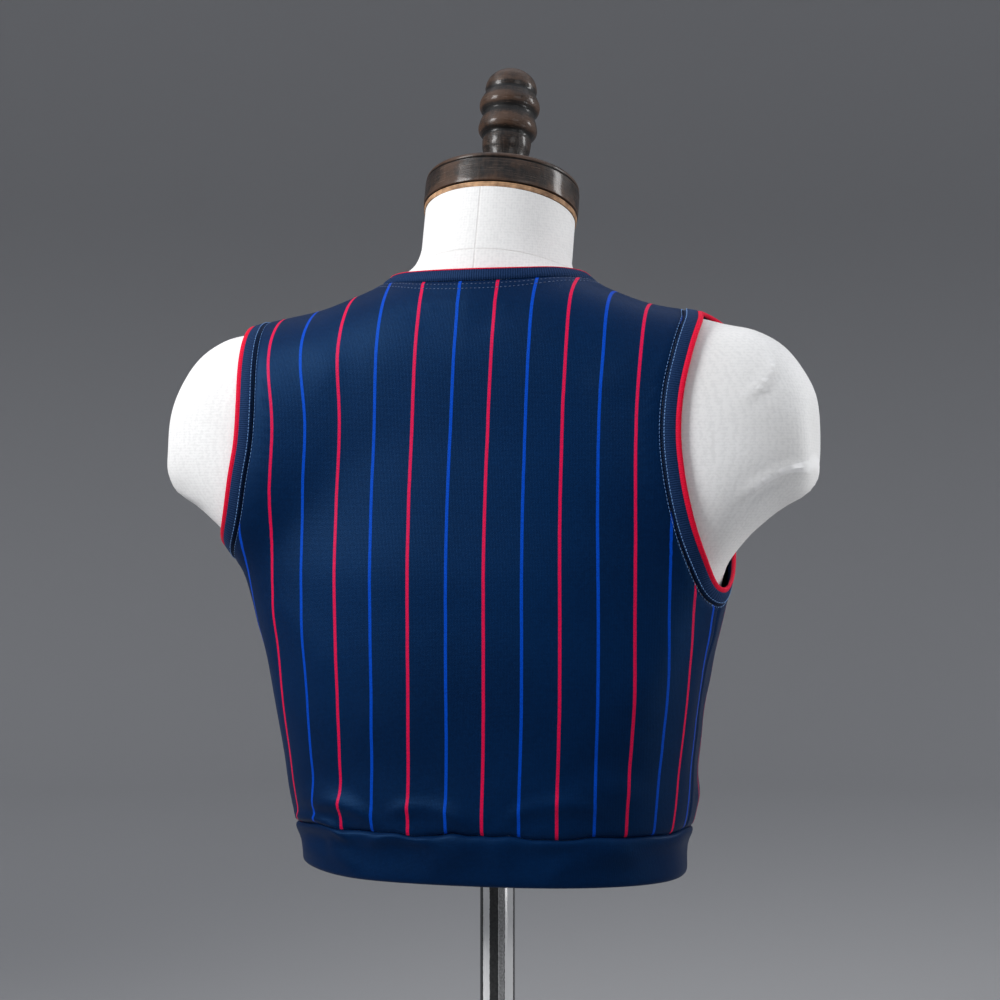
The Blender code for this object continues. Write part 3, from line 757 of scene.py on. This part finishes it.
class Shader:
    """A material's nodes."""

    def __init__(self, name, roughness, metallic=0.0, sheen=0.0, specular=0.5):
        self.material = bpy.data.materials.new(name)
        self.material.use_nodes = True
        self.tree = self.material.node_tree
        self.out = self.tree.nodes["Principled BSDF"]
        self.look(Roughness=roughness, Metallic=metallic, Sheen_Weight=sheen,
                  Specular_IOR_Level=specular)
        self.space = self.tree.nodes.new("ShaderNodeTexCoord").outputs["Object"]

    def look(self, **values):
        """Plain values of the surface, by the name of their socket."""
        for name, value in values.items():
            self.out.inputs[name.replace("_", " ")].default_value = value

    def put(self, socket, value):
        if isinstance(value, bpy.types.NodeSocket):
            self.tree.links.new(value, socket)
        elif isinstance(value, tuple) and len(value) == 3 and socket.type == "RGBA":
            socket.default_value = (*value, 1.0)
        else:
            socket.default_value = value

    def math(self, operation, a, b=0.0, c=0.0, clamp=False):
        node = self.tree.nodes.new("ShaderNodeMath")
        node.operation = operation
        node.use_clamp = clamp
        for socket, value in zip(node.inputs, (a, b, c)):
            self.put(socket, value)
        return node.outputs[0]

    def times(self, a, b):
        return self.math("MULTIPLY", a, b)

    def times_plus(self, a, b, c):
        """a times b, plus c."""
        return self.math("MULTIPLY_ADD", a, b, c)

    def attribute(self, name):
        node = self.tree.nodes.new("ShaderNodeAttribute")
        node.attribute_name = name
        return node.outputs["Fac"]

    def fade(self, value, low, high):
        """0 at low, 1 at high, smooth between them."""
        node = self.tree.nodes.new("ShaderNodeMapRange")
        node.interpolation_type = "SMOOTHSTEP"
        for name, given in (("Value", value), ("From Min", low), ("From Max", high)):
            self.put(node.inputs[name], given)
        return node.outputs["Result"]

    def mix(self, share, a, b):
        node = self.tree.nodes.new("ShaderNodeMix")
        node.data_type = "RGBA"
        for socket, value in ((node.inputs[0], share), (node.inputs[6], a), (node.inputs[7], b)):
            self.put(socket, value)
        return node.outputs[2]

    def tint(self, colour, value, low, high, share, other):
        """A colour with up to a share of another mixed in, as a value goes from low to high."""
        return self.mix(self.times(self.fade(value, low, high), share), colour, other)

    def stretched(self, scale):
        node = self.tree.nodes.new("ShaderNodeMapping")
        node.inputs["Scale"].default_value = scale
        self.put(node.inputs["Vector"], self.space)
        return node.outputs[0]

    def combined(self, x, y, z=0.0):
        node = self.tree.nodes.new("ShaderNodeCombineXYZ")
        for socket, value in zip(node.inputs, (x, y, z)):
            self.put(socket, value)
        return node.outputs[0]

    def noise(self, scale, detail=3.0, vector=None):
        node = self.tree.nodes.new("ShaderNodeTexNoise")
        node.inputs["Scale"].default_value = scale
        node.inputs["Detail"].default_value = detail
        self.put(node.inputs["Vector"], self.space if vector is None else vector)
        return node.outputs[0]

    def wave(self, value, period):
        """A cosine of a value, from -1 to 1."""
        return self.math("COSINE", self.times(value, tau / period))

    def finish(self, colour, height=None, depth=0.0, roughness=None):
        """Colour, and a bump whose height of 1 is a depth in millimetres."""
        self.put(self.out.inputs["Base Color"], colour)
        if roughness is not None:
            self.put(self.out.inputs["Roughness"], roughness)
        if height is not None:
            node = self.tree.nodes.new("ShaderNodeBump")
            node.inputs["Distance"].default_value = depth * MM
            self.put(node.inputs["Height"], height)
            self.put(self.out.inputs["Normal"], node.outputs[0])
        return self.material


NAVY_DEEP = (0.0006, 0.0095, 0.043)
NAVY_LIT = (0.0010, 0.0175, 0.073)
RIB_DEEP = (0.002, 0.012, 0.045)
RIB_LIT = (0.012, 0.031, 0.090)
STRIPE_RED = (0.72, 0.002, 0.055)
STRIPE_BLUE = (0.0005, 0.058, 0.50)
EDGE_RED = (0.78, 0.003, 0.030)


def jersey_material():
    """Smooth navy jersey with knitted-in stripes, red by odd number and blue by even."""
    s = Shader("navy_jersey_knit", 0.48, sheen=0.01, specular=0.24)
    s.look(Sheen_Roughness=0.45, Sheen_Tint=(0.1, 0.35, 1.0, 1.0),
           Specular_Tint=(0.10, 0.42, 1.0, 1.0))
    run, rise = s.attribute("run"), s.attribute("rise")
    number = s.attribute("stripe")
    loops = s.math("PINGPONG", s.math("DIVIDE", run, 0.9), 0.5)
    course = s.wave(s.times_plus(loops, 0.5, s.math("DIVIDE", rise, 0.75)), 1.0)
    wale = s.wave(run, 0.9)
    fuzz = s.noise(1500, 2)
    knit = s.times_plus(s.math("ADD", course, wale), 0.16, fuzz)
    waver = s.times(s.math("SUBTRACT", s.noise(60, 2), 0.5), 0.014)
    number = s.math("ADD", number, waver)
    off = s.math("PINGPONG", number, 0.5)
    off = s.math("DIVIDE", s.times(off, s.attribute("apart")), STRIPE_WIDTH / 2)
    line = s.math("SUBTRACT", 1.0, s.fade(off, 0.82, 1.18))
    odd = s.math("GREATER_THAN", s.math("PINGPONG", number, 1.0), 0.5)
    mottle = s.times_plus(s.noise(9, 3), 0.7, s.times(s.noise(420, 4), 0.35))
    navy = s.mix(s.fade(mottle, 0.3, 0.75), NAVY_DEEP, NAVY_LIT)
    navy = s.tint(navy, knit, 0.9, 0.3, 0.35, (0.001, 0.004, 0.018))
    stripe = s.mix(odd, STRIPE_BLUE, STRIPE_RED)
    stripe = s.tint(stripe, fuzz, 0.6, 0.3, 0.3, NAVY_DEEP)
    colour = s.mix(line, navy, stripe)
    height = s.times_plus(line, 0.4, knit)
    return s.finish(colour, height, 0.09)


def rib_material(name, tip, ditch, rib):
    """Navy rib knit with a red tipped free edge, in shadow along a sunken strip by its seam."""
    s = Shader(name, 0.62, sheen=0.05, specular=0.2)
    s.look(Sheen_Roughness=0.5, Sheen_Tint=(0.3, 0.5, 1.0, 1.0),
           Specular_Tint=(0.2, 0.45, 1.0, 1.0))
    across = s.attribute("across")
    ribs = s.wave(s.attribute("column"), 1 / rib)
    fuzz = s.noise(1300, 3)
    red = s.fade(across, tip - 0.015, tip + 0.01)
    navy = s.mix(s.fade(s.times_plus(ribs, 0.3, fuzz), 0.2, 0.85), RIB_DEEP, RIB_LIT)
    # Painted shade: the strip along the seam is darkened to near black.
    if ditch:
        navy = s.mix(s.fade(across, ditch, ditch - 0.05), navy, (0.0006, 0.004, 0.017))
    edge = s.mix(s.fade(fuzz, 0.3, 0.7), (0.60, 0.002, 0.020), EDGE_RED)
    return s.finish(s.mix(red, navy, edge), s.times_plus(ribs, 0.4, fuzz), 0.14)


def canvas_material():
    """Off-white woven canvas, with the form's own seams sunk into it, painted shade in the troughs of
    its folds and a painted highlight along their ridges.
    """
    s = Shader("canvas_weave", 0.82, sheen=0.04, specular=0.25)
    drift = s.times(s.noise(30, 2), 0.004)
    warp = s.wave(s.math("ADD", s.attribute("column"), drift), 1 / FORM_COLUMNS)
    weft = s.wave(s.math("ADD", s.attribute("rise"), s.noise(24, 2)), 1.7)
    slub = s.noise(520, 4)
    weave = s.times_plus(s.math("ADD", warp, weft), 0.06, slub)
    seam = s.math("MAXIMUM", *(s.fade(s.math("ABSOLUTE", s.attribute(name)), 0.8, 0.2)
                               for name in ("spine", "collar")))
    tone = s.mix(s.fade(s.noise(7, 4), 0.35, 0.7), (0.79, 0.785, 0.775), (0.86, 0.86, 0.86))
    tone = s.tint(tone, weave, 0.62, 0.3, 0.3, (0.60, 0.60, 0.60))
    tone = s.mix(s.times(seam, 0.16), tone, (0.40, 0.36, 0.32))
    # Painted shade: the canvas is darkened where its folds sink in. A painted highlight lightens it
    # where they stand out.
    crease = s.attribute("crease")
    tone = s.tint(tone, crease, -0.3, -1.2, 0.3, (0.55, 0.55, 0.56))
    tone = s.tint(tone, crease, 0.8, 1.4, 0.8, (0.95, 0.95, 0.95))
    return s.finish(tone, s.times_plus(seam, -0.9, weave), 0.16)


def wood_material():
    """Dark stained wood, rubbed back to brown on its turned edges and scratched, with painted shade in
    its grooves.
    """
    s = Shader("dark_stained_wood", 0.4, specular=0.3)
    s.look(Coat_Weight=0.26, Coat_Roughness=0.14)
    rise, turn = s.attribute("rise"), s.attribute("column")

    def streaks(around, along, detail):
        return s.noise(1.0, detail, s.combined(s.times(turn, around), s.times(rise, along)))

    grain, rings, scratch = streaks(110.0, 0.16, 5), streaks(5.0, 1.9, 4), streaks(16.0, 3.2, 3)
    patches, chips = s.noise(46, 5), s.noise(300, 5)
    worn = s.times_plus(s.attribute("wear"), 0.5, s.times(patches, 0.8))
    worn = s.times_plus(chips, 0.25, worn)
    colour = s.mix(s.fade(grain, 0.36, 0.66), (0.0025, 0.0020, 0.0019), (0.020, 0.012, 0.0085))
    colour = s.tint(colour, rings, 0.5, 0.7, 0.55, (0.050, 0.026, 0.015))
    colour = s.tint(colour, worn, 0.74, 1.0, 0.6, (0.088, 0.044, 0.024))
    colour = s.tint(colour, scratch, 0.60, 0.69, 0.6, (0.20, 0.145, 0.11))
    # Painted shade: where the turning sinks below its neighbours the wood is darkened to near black.
    colour = s.mix(s.fade(s.attribute("wear"), 0.12, 0.0), colour, (0.002, 0.0015, 0.0014))
    rough = s.times_plus(s.fade(patches, 0.35, 0.7), 0.25, 0.38)
    height = s.times_plus(grain, 0.7, s.times(scratch, -0.8))
    return s.finish(colour, s.times_plus(rings, 0.6, height), 0.3, rough)


def tan_material():
    """The cut edge of a layered board, rubbed and stained."""
    s = Shader("tan_board_edge", 0.7, specular=0.35)
    layers = s.wave(s.attribute("rise"), 1.15)
    blotch = s.math("ADD", s.times(s.noise(160, 4), 0.6), s.times(s.noise(28, 3), 0.45))
    colour = s.mix(s.fade(blotch, 0.35, 0.7), (0.15, 0.075, 0.036), (0.62, 0.37, 0.20))
    colour = s.tint(colour, layers, 0.3, 0.9, 0.35, (0.10, 0.055, 0.03))
    return s.finish(colour, s.times_plus(layers, 0.3, blotch), 0.2)


def metal_material(name, roughness, lines, banded):
    """Bright plated steel with fine rubbed lines. The pole is near-white with little metal, and
    carries painted reflections in bands along its length.
    """
    s = Shader(name, roughness, metallic=0.12 if banded else 1.0)
    streak = s.noise(1.0, 3, s.stretched(lines))
    dull, bright = ((0.93,) * 3, (0.99,) * 3) if banded else ((0.62, 0.63, 0.64), (0.78, 0.79, 0.80))
    colour = s.mix(s.fade(s.noise(22, 3), 0.3, 0.75), dull, bright)
    if banded:
        # Painted reflections: dark and grey bands fixed round the pole.
        ragged = s.times(s.math("SUBTRACT", s.noise(420, 3), 0.5), 0.011)
        turn = s.math("FRACT", s.math("ADD", s.attribute("column"), s.math("ADD", ragged, 0.5)))
        mottle = s.times_plus(s.noise(700, 3), 1.6, 0.2)
        for start, end, shade in POLE_PAINTED_REFLECTIONS:
            here = s.times(s.fade(turn, start / 360 - BAND_EDGE, start / 360 + BAND_EDGE),
                           s.fade(turn, end / 360 + BAND_EDGE, end / 360 - BAND_EDGE))
            grey = s.times(mottle, shade)
            colour = s.mix(here, colour, s.combined(grey, grey, grey))
    rough = s.times_plus(s.fade(streak, 0.35, 0.75), 0.12, roughness)
    return s.finish(colour, streak, 0.02, rough)


def thread_material(name, colour, dark):
    """Sewing thread, with the twist of its strands."""
    s = Shader(name, 0.5, sheen=0.2)
    tone = s.mix(s.fade(s.noise(1800, 2), 0.35, 0.65), dark, colour)
    return s.finish(tone, s.noise(2600, 2), 0.05)


def cloth_panel(name, node, outline, facing, rear, stripes, material):
    """A wall of single jersey inside a closed outline drawn on the surface, tucked in at its seams."""
    outline = beside(outline, SEAM_GAP / 2)
    drawn = [outline] + [beside(outline, distance) for distance in EDGE_RINGS]

    def flattened(points):
        turn, level = address(points)
        return np.stack([((turn - facing + pi) % tau - pi) * PANEL_RADIUS, level], -1)

    flat = flattened(outline)
    rings = np.concatenate([flattened(ring) for ring in drawn[1:]])
    rings = rings[inside_outline(rings, flat, RING_MARGIN)]
    grid = lattice(flat.min(0), flat.max(0), CLOTH_SPACING)
    grid = grid[inside_outline(grid, flat, EDGE_RINGS[-1] + GRID_MARGIN)]
    inner = np.concatenate([rings, grid])
    points = [Vector(point) for point in np.concatenate([flat, inner])]
    edges = [(i, (i + 1) % len(flat)) for i in range(len(flat))]
    made = delaunay_2d_cdt(points, edges, [], 1, 1e-4)
    triangles = np.array([[made[3][corner][0] for corner in face] for face in made[2]])
    surface = np.concatenate([outline, place(inner[:, 0] / PANEL_RADIUS + facing, inner[:, 1])])
    tree = KDTree(len(outline))
    for i, point in enumerate(outline):
        tree.insert(point, i)
    tree.balance()
    inset = np.array([tree.find(point)[2] for point in surface])
    height = JERSEY * (1 - TUCK * np.exp(-(inset / TUCK_REACH)**2))
    height = height + SWELLING * np.exp(-((inset - SWELLING_AT) / SWELLING_REACH)**2)
    walls = np.concatenate([stand_off(surface, height), stand_off(surface, 0.0)])
    count = len(surface)
    faces = [tuple(face) for face in triangles]
    faces += [tuple(face[::-1] + count) for face in triangles]
    faces += [(b, a, a + count, b + count) for a, b in edges]
    number, run, apart = stripe_numbers(surface, rear, stripes)
    return piece(name, "navy_jersey", node, walls, faces, material, sharp=60.0,
                 stripe=np.tile(number, 2), run=np.tile(run, 2), apart=np.tile(apart, 2),
                 rise=np.tile(surface[:, 2], 2))


def rib_section(width, bead, ditch):
    """Section of a folded band from its seam round its free edge and back: across and height. The
    ditch is the width of the sunken strip along the seam."""
    edge = width - bead
    outer = [(0.0, 0.5), (0.5, 0.85)]
    if ditch:
        outer += [(ditch * 0.75, 0.85), (ditch, 1.15), (ditch + 0.4, 1.75), (ditch + 1.2, 2.05)]
    else:
        outer += [(1.1, 1.45), (2.0, 1.8)]
    crown = 2.15 if ditch else 1.95
    outer += [(edge * 0.6, crown), (edge - 0.8, crown - 0.05), (edge - 0.2, 1.85), (edge, 1.7),
              (edge + 0.2, 1.9)]
    half = RIB * 0.5
    back = width - half
    turned = [(back + cos(a) * half, half + sin(a) * half) for a in np.linspace(1.4, -1.5, 9)]
    return np.array(outer + turned + [(edge - 1.0, 0.0), (edge * 0.5, 0.0), (1.0, 0.0), (0.0, 0.1)])


def rib_band(name, node, seam, width, bead, ditch, material):
    """A folded band that runs inward from a seam, with its tipped edge rolled."""
    section = rib_section(width, bead, ditch)
    rows, count = [], len(seam)
    for across, height in section:
        line = beside(seam, SEAM_GAP / 2 + across)
        rows.append(stand_off(line, height))
    faces = grid_faces(len(rows), count, True, True)
    return piece(name, "navy_rib", node, np.concatenate(rows), faces, material, columns=count,
                 across=np.repeat(section[:, 0] / width, count))


def hem_ring(material):
    """The hem band, folded double: tucked at its seam, soft in the middle and round at its fold."""
    section = [(0.0, 0.3), (0.5, 1.3), (1.3, 2.4), (2.6, 3.1), (4.4, 3.3), (6.5, 3.1), (9, 2.6),
               (12.5, 2.2), (18, 2.2), (22, 2.3), (25.5, 2.4), (27.5, 2.3), (28.9, 1.9), (29.6, 1.4),
               (29.85, 0.8), (29.5, 0.3), (28.6, 0.0), (24, 0.0), (12, 0.0), (4, 0.0), (0.0, 0.0)]
    rows, heights = [], []
    puff = waves(HEM_TURNS, BAND_WAVES)
    for down, height in section:
        line = hem_line(HEM_BAND_HEIGHT - SEAM_GAP / 2 - down)
        soft = puff * np.exp(-((down - PUFF_DOWN) / PUFF_SPREAD)**2) * (height > 1)
        rows.append(stand_off(line, height + soft))
        heights.append(line[:, 2])
    rise = np.concatenate(heights)
    faces = grid_faces(len(rows), HEM_POINTS, True, True)
    run = np.tile(np.abs((HEM_TURNS + pi) % tau - pi) * HEM_RADIUS, len(rows))
    return piece("hem_band_cloth", "navy_jersey", "hem_band", np.concatenate(rows), faces, material,
                 columns=HEM_POINTS, stripe=np.full(len(rise), BARE), run=run, rise=rise,
                 apart=np.full(len(rise), STRIPES_APART))


def stitches(name, slot, line, height, spacing, length, radius, material):
    """A row of separate stitches lying on the cloth along a closed line drawn on the surface."""
    loop = np.concatenate([line, line[:1]])
    whole = distances(loop)[-1]
    count = int(whole / spacing)
    at = (np.arange(count) + 0.5) / count * whole
    middle = settle(along_line(loop, at))
    way = unit(along_line(loop, at + 0.5 * length) - along_line(loop, at - 0.5 * length))
    up = outward(middle)
    side = np.cross(up, way)
    centre = stand_off(middle, height)
    profile = [(-0.5, 0.0), (-0.42, 0.6), (-0.2, 1.0), (0.2, 1.0), (0.42, 0.6), (0.5, 0.0)]
    sides = 6
    vertices = []
    for along, wide in profile:
        for j in range(sides):
            angle = tau * j / sides
            sink = -0.5 * radius * (abs(along) > 0.3)
            vertices.append(centre + way * (along * length) + side * (cos(angle) * wide * radius)
                            + up * (sin(angle) * wide * radius + sink))
    vertices = np.stack(vertices, 1).reshape(-1, 3)
    starts = np.arange(count) * len(profile) * sides
    faces = starts[:, None, None] + np.array(grid_faces(len(profile), sides, False, True))
    return piece(name, slot, None, vertices, faces.reshape(-1, 4), material)


def garment(made):
    neck = neck_seam()
    hem = hem_line(HEM_BAND_HEIGHT)
    quarter = HEM_POINTS // 4
    jersey = jersey_material()
    blue_thread = thread_material("pale_blue_thread", (0.16, 0.36, 0.72), (0.05, 0.14, 0.36))
    navy_thread = thread_material("navy_thread", (0.06, 0.11, 0.25), (0.012, 0.025, 0.07))
    ribs = round(distances(neck)[-1] / NECK_RIB)
    made["neckband"] = rib_band("neckband_rib", "neckband", neck, NECKBAND_WIDTH, NECK_BEAD, 0,
                                rib_material("neck_rib_knit", NECK_TIP, 0.0, ribs))
    made["hem_band"] = hem_ring(jersey)
    made["neck_sewing"] = [
        stitches(f"neck_stitches_{i + 1}", "navy_jersey", beside(neck, aside), JERSEY + 0.05,
                 *NECK_STITCH, navy_thread) for i, aside in enumerate(NECK_ROWS)]
    backs, fronts = [], []
    for side, corners in (("left", ARMHOLE_LEFT), ("right", ARMHOLE_RIGHT)):
        seam = armhole_seam(corners)
        underarm = int(np.argmin(seam[:, 2]))
        out = FLIP if side == "right" else 1
        neck_corner = neck[SHOULDER_COLUMN if side == "right" else -SHOULDER_COLUMN]
        hem_corner = hem[quarter if side == "right" else -quarter]
        shoulder = line_on_surface(neck_corner, seam[0] * out, SHOULDER_STEPS)
        flank = line_on_surface(seam[underarm] * out, hem_corner, SIDE_STEPS)
        rear_half = np.concatenate([seam[:1], seam[:underarm - 1:-1]]) * out
        fore_half = seam[:underarm + 1] * out
        backs.append(np.concatenate([shoulder, rear_half, flank]))
        fronts.append(np.concatenate([shoulder, fore_half, flank]))
        run = seam if side == "left" else (seam * FLIP)[::-1]
        knit = rib_material(f"armhole_{side}_rib_knit", 1 - TIP_WIDTH / ARMHOLE_BAND_WIDTH,
                            DITCH / ARMHOLE_BAND_WIDTH, round(distances(run)[-1] / ARMHOLE_RIB))
        made[f"armhole_band_{side}"] = rib_band(f"armhole_rib_{side}", f"armhole_band_{side}", run,
                                                ARMHOLE_BAND_WIDTH, TIP_WIDTH, DITCH, knit)
        made[f"{side}_sewing"] = [
            stitches(f"armhole_stitches_{side}_1", "navy_rib", beside(run, DITCH + 0.55), 2.0,
                     *BAND_STITCH, blue_thread),
            stitches(f"armhole_stitches_{side}_2", "navy_rib", beside(run, -0.75), JERSEY,
                     *SEAM_STITCH, blue_thread)]
    nape = np.concatenate([neck[SHOULDER_COLUMN::-1], neck[:-SHOULDER_COLUMN - 1:-1]])
    hem_back = np.concatenate([hem[-quarter:], hem[:quarter + 1]])
    back = np.concatenate([nape, backs[0], hem_back, backs[1][::-1]])
    made["back_panel"] = cloth_panel("back_cloth", "back_panel", back, 0.0, 1, STRIPES, jersey)
    throat = neck[-SHOULDER_COLUMN:SHOULDER_COLUMN - 1:-1]
    front = np.concatenate([throat, fronts[1], hem[quarter:-quarter + 1], fronts[0][::-1]])
    made["front_panel"] = cloth_panel("front_cloth", "front_panel", front, pi, -1, FRONT_STRIPES,
                                      jersey)


def dress_form():
    """The canvas-covered torso, with a turned-in lower edge."""
    steps = np.arange(FORM_COLUMNS) / FORM_COLUMNS
    turns = steps * tau + FORM_CROWDING * np.sin(2 * steps * tau)
    levels = np.concatenate([np.linspace(FORM_RECESS, 190, 26), np.linspace(193, 330, 56),
                             np.linspace(333, 490, 62)])
    rows = [place(turns, level) for level in levels]
    rows = [row + outward(row) * (folds(row, STUMP_FOLDS) - FORM_INSET)[:, None] for row in rows]
    rows[0][:, 2] = FORM_RECESS
    middle = rows[0].mean(0)
    bottom = [middle + (rows[0] - middle) * share for share in (0.5, 0.9, 0.985)]
    end = NECK_ROOT + NECK_AXIS * NECK_END
    rows.append(rows[-1] + NECK_AXIS * ((end - rows[-1]) @ NECK_AXIS)[:, None])
    rows = bottom + rows
    points = np.concatenate(rows)
    faces = grid_faces(len(rows), FORM_COLUMNS, False, True)
    last = (len(rows) - 1) * FORM_COLUMNS
    faces += [tuple(range(FORM_COLUMNS)), tuple(range(last, last + FORM_COLUMNS))]
    rel = points - NECK_ROOT
    return piece("form_canvas", "canvas", "dress_form", points, faces, canvas_material(), sharp=50.0,
                 columns=FORM_COLUMNS, spine=np.where(points[:, 1] > 0, points[:, 0], 9.0),
                 collar=rel @ NECK_AXIS - 9.0, rise=points[:, 2], crease=folds(points, STUMP_FOLDS))


def turned(name, slot, node, profile, start, axis, material, fine=4, sharp=40.0):
    """A solid of revolution about an axis from a start point, closed flat or by a tip."""
    basis = np.array(Vector(axis).to_track_quat("Z", "Y").to_matrix())
    heights, radii = np.array(profile, float).T
    keys = np.arange(len(profile), dtype=float)
    at = np.linspace(0, keys[-1], (len(profile) - 1) * fine + 1)
    columns = {"key": keys, "height": heights, "radius": radii}
    if fine > 1:
        heights, radii = read(columns, "height", at), read(columns, "radius", at)
    angles = np.arange(TURNED_COLUMNS) * tau / TURNED_COLUMNS
    circle = np.stack([np.cos(angles), np.sin(angles), 0 * angles], -1)
    tip = int(radii[-1] <= 0)
    if tip:
        heights, radii = heights[:-1], radii[:-1]
    rings = [circle * max(radius, 0.3) + [0, 0, height] for height, radius in zip(heights, radii)]
    faces = grid_faces(len(rings), TURNED_COLUMNS, False, True) + [tuple(range(TURNED_COLUMNS))]
    last = (len(rings) - 1) * TURNED_COLUMNS
    if tip:
        count = TURNED_COLUMNS
        faces += [(last + i, last + (i + 1) % count, last + count) for i in range(count)]
        rings.append(np.array([[0, 0, profile[-1][0]]]))
    else:
        faces.append(tuple(range(last, last + TURNED_COLUMNS)))
    around = np.convolve(np.pad(radii, 6, mode="edge"), np.ones(13) / 13, mode="valid")
    # How far each ring stands proud of its neighbours: high on the turned edges, where the wood is
    # rubbed, and low in the grooves, which get painted shade.
    proud = np.clip((radii - around) / 0.8 + 0.35, 0, 1)
    wear = np.concatenate([np.repeat(proud, TURNED_COLUMNS), [0.4] * tip])
    rise = np.concatenate([np.repeat(heights, TURNED_COLUMNS), [profile[-1][0]] * tip])
    points = np.concatenate(rings) @ basis.T + np.array(start)
    return piece(name, slot, node, points, faces, material, sharp=sharp, columns=TURNED_COLUMNS,
                 wear=wear, rise=rise)


def stand():
    """Base plate, pole, neck ring, neck cap and finial."""
    up = (0, 0, 1)
    polished = metal_material("polished_steel", 0.09, (900, 900, 6), True)
    brushed = metal_material("satin_steel", 0.3, (300, 300, 300), False)
    rounded = [(BASE_THICKNESS - BASE_EDGE * down, BASE_RADIUS - BASE_EDGE * inward)
               for down, inward in ((1, 0), (0.6, 0.1), (0.3, 0.3), (0.1, 0.6), (0, 1))]
    turned("base_disc", "bright_metal", "base_plate", [
        (0, BASE_RADIUS - 0.6),
        (0.6, BASE_RADIUS),
        *rounded,
        (BASE_THICKNESS, COLLAR_RADIUS + 0.8),
        (BASE_THICKNESS + 0.8, COLLAR_RADIUS),
        (BASE_THICKNESS + COLLAR_HEIGHT - 1, COLLAR_RADIUS),
        (BASE_THICKNESS + COLLAR_HEIGHT - 0.3, COLLAR_RADIUS - 0.3),
        (BASE_THICKNESS + COLLAR_HEIGHT, COLLAR_RADIUS - 1),
    ], (0, 0, -HEM_ABOVE_FLOOR), up, brushed, fine=1)
    foot = BASE_THICKNESS + COLLAR_HEIGHT + PART_GAP
    height = HEM_ABOVE_FLOOR + FORM_RECESS - PART_GAP - foot
    turned("pole_tube", "bright_metal", "pole",
           [(0, POLE_RADIUS - 0.3), (0.3, POLE_RADIUS), (height, POLE_RADIUS)],
           (0, 0, foot - HEM_ABOVE_FLOOR), up, polished, fine=1)
    top = NECK_ROOT + NECK_AXIS * (NECK_END + PART_GAP)
    turned("neck_board", "tan_board", "neck_ring", [
        (0, RING_RADIUS - 0.4),
        (0.4, RING_RADIUS),
        (RING_THICKNESS - 0.4, RING_RADIUS),
        (RING_THICKNESS, RING_RADIUS - 0.4),
    ], top, NECK_AXIS, tan_material(), fine=1)
    top = top + NECK_AXIS * (RING_THICKNESS + PART_GAP)
    wood = wood_material()
    turned("cap_wood", "dark_wood", "neck_cap", CAP, top, NECK_AXIS, wood, fine=3)
    top = top + NECK_AXIS * (CAP_THICKNESS + PART_GAP)
    turned("finial_wood", "dark_wood", "finial", FINIAL, top, NECK_AXIS, wood, fine=6)


VIEW_TURN = radians(15)
VIEW_DISTANCE = 1.4875
VIEW_HEIGHT = 0.440
LENS = 85
SENSOR = 36
SHIFT = 0.0025


def camera():
    """Level, behind the top and a little toward the wearer's right, with a long lens."""
    data = bpy.data.cameras.new("camera")
    data.lens, data.sensor_width, data.shift_x = LENS, SENSOR, SHIFT
    made = linked("camera", data)
    made.location = (-sin(VIEW_TURN) * VIEW_DISTANCE, cos(VIEW_TURN) * VIEW_DISTANCE, VIEW_HEIGHT)
    made.rotation_euler = (pi / 2, 0, pi + VIEW_TURN)
    bpy.context.scene.camera = made


def sweep_material():
    """Pale floor that deepens to grey as it rises into the wall."""
    s = Shader("studio_sweep", 0.85, specular=0.2)
    parts = s.tree.nodes.new("ShaderNodeSeparateXYZ")
    s.put(parts.inputs[0], s.space)
    rise = s.fade(parts.outputs[2], 0.0, 1.1)
    return s.finish(s.mix(rise, (0.43, 0.43, 0.435), (0.35, 0.35, 0.355)))


def studio():
    """A pale floor that sweeps up into a wall all round, and soft lights."""
    profile = [(0.0, 0.0), (2.2, 0.0)]
    profile += [(2.2 + sin(a) * 1.0, 1.0 - cos(a) * 1.0) for a in np.linspace(0.1, pi / 2, 14)]
    profile += [(3.2, 3.4)]
    sides = 96
    vertices = [(r * cos(tau * j / sides), r * sin(tau * j / sides), z)
                for r, z in profile[1:] for j in range(sides)]
    faces = [face[::-1] for face in grid_faces(len(profile) - 1, sides, False, True)]
    faces.append(tuple(range(sides)))
    mesh = bpy.data.meshes.new("studio_floor")
    mesh.from_pydata(vertices, [], faces)
    mesh.shade_smooth()
    mesh.materials.append(sweep_material())
    linked("studio_floor", mesh)
    # name, turn from the camera towards the image's right, height, distance, width, length,
    # height that it aims at, spread in degrees, power
    for name, turn, height, distance, width, length, aim, spread, power in (
        ("key", -64, 1.15, 1.35, 0.55, 0.7, 0.54, 62, 3.4),
        ("rim", 95, 1.0, 1.35, 0.3, 0.6, 0.56, 46, 0.75),
        ("fill", 30, 1.3, 1.9, 0.9, 0.9, 0.56, 60, 0.7),
        ("bounce", 60, 0.08, 1.2, 0.35, 0.35, 0.47, 40, 0.2),
    ):
        data = bpy.data.lights.new(name, "AREA")
        data.shape = "RECTANGLE"
        data.size, data.size_y, data.energy, data.spread = width, length, power, radians(spread)
        light = linked(name, data)
        angle = pi / 2 + VIEW_TURN + radians(turn)
        place_at = Vector((cos(angle) * distance, sin(angle) * distance, height))
        light.location = place_at
        light.rotation_euler = (Vector((0, 0, aim)) - place_at).to_track_quat("-Z", "Y").to_euler()
    world = bpy.data.worlds.new("studio")
    world.use_nodes = True
    world.node_tree.nodes["Background"].inputs["Color"].default_value = (0.9, 0.93, 1.0, 1.0)
    world.node_tree.nodes["Background"].inputs["Strength"].default_value = 0.8
    bpy.context.scene.world = world
    bpy.context.scene.view_settings.view_transform = "Standard"


made = {}
camera()
studio()
dress_form()
stand()
garment(made)
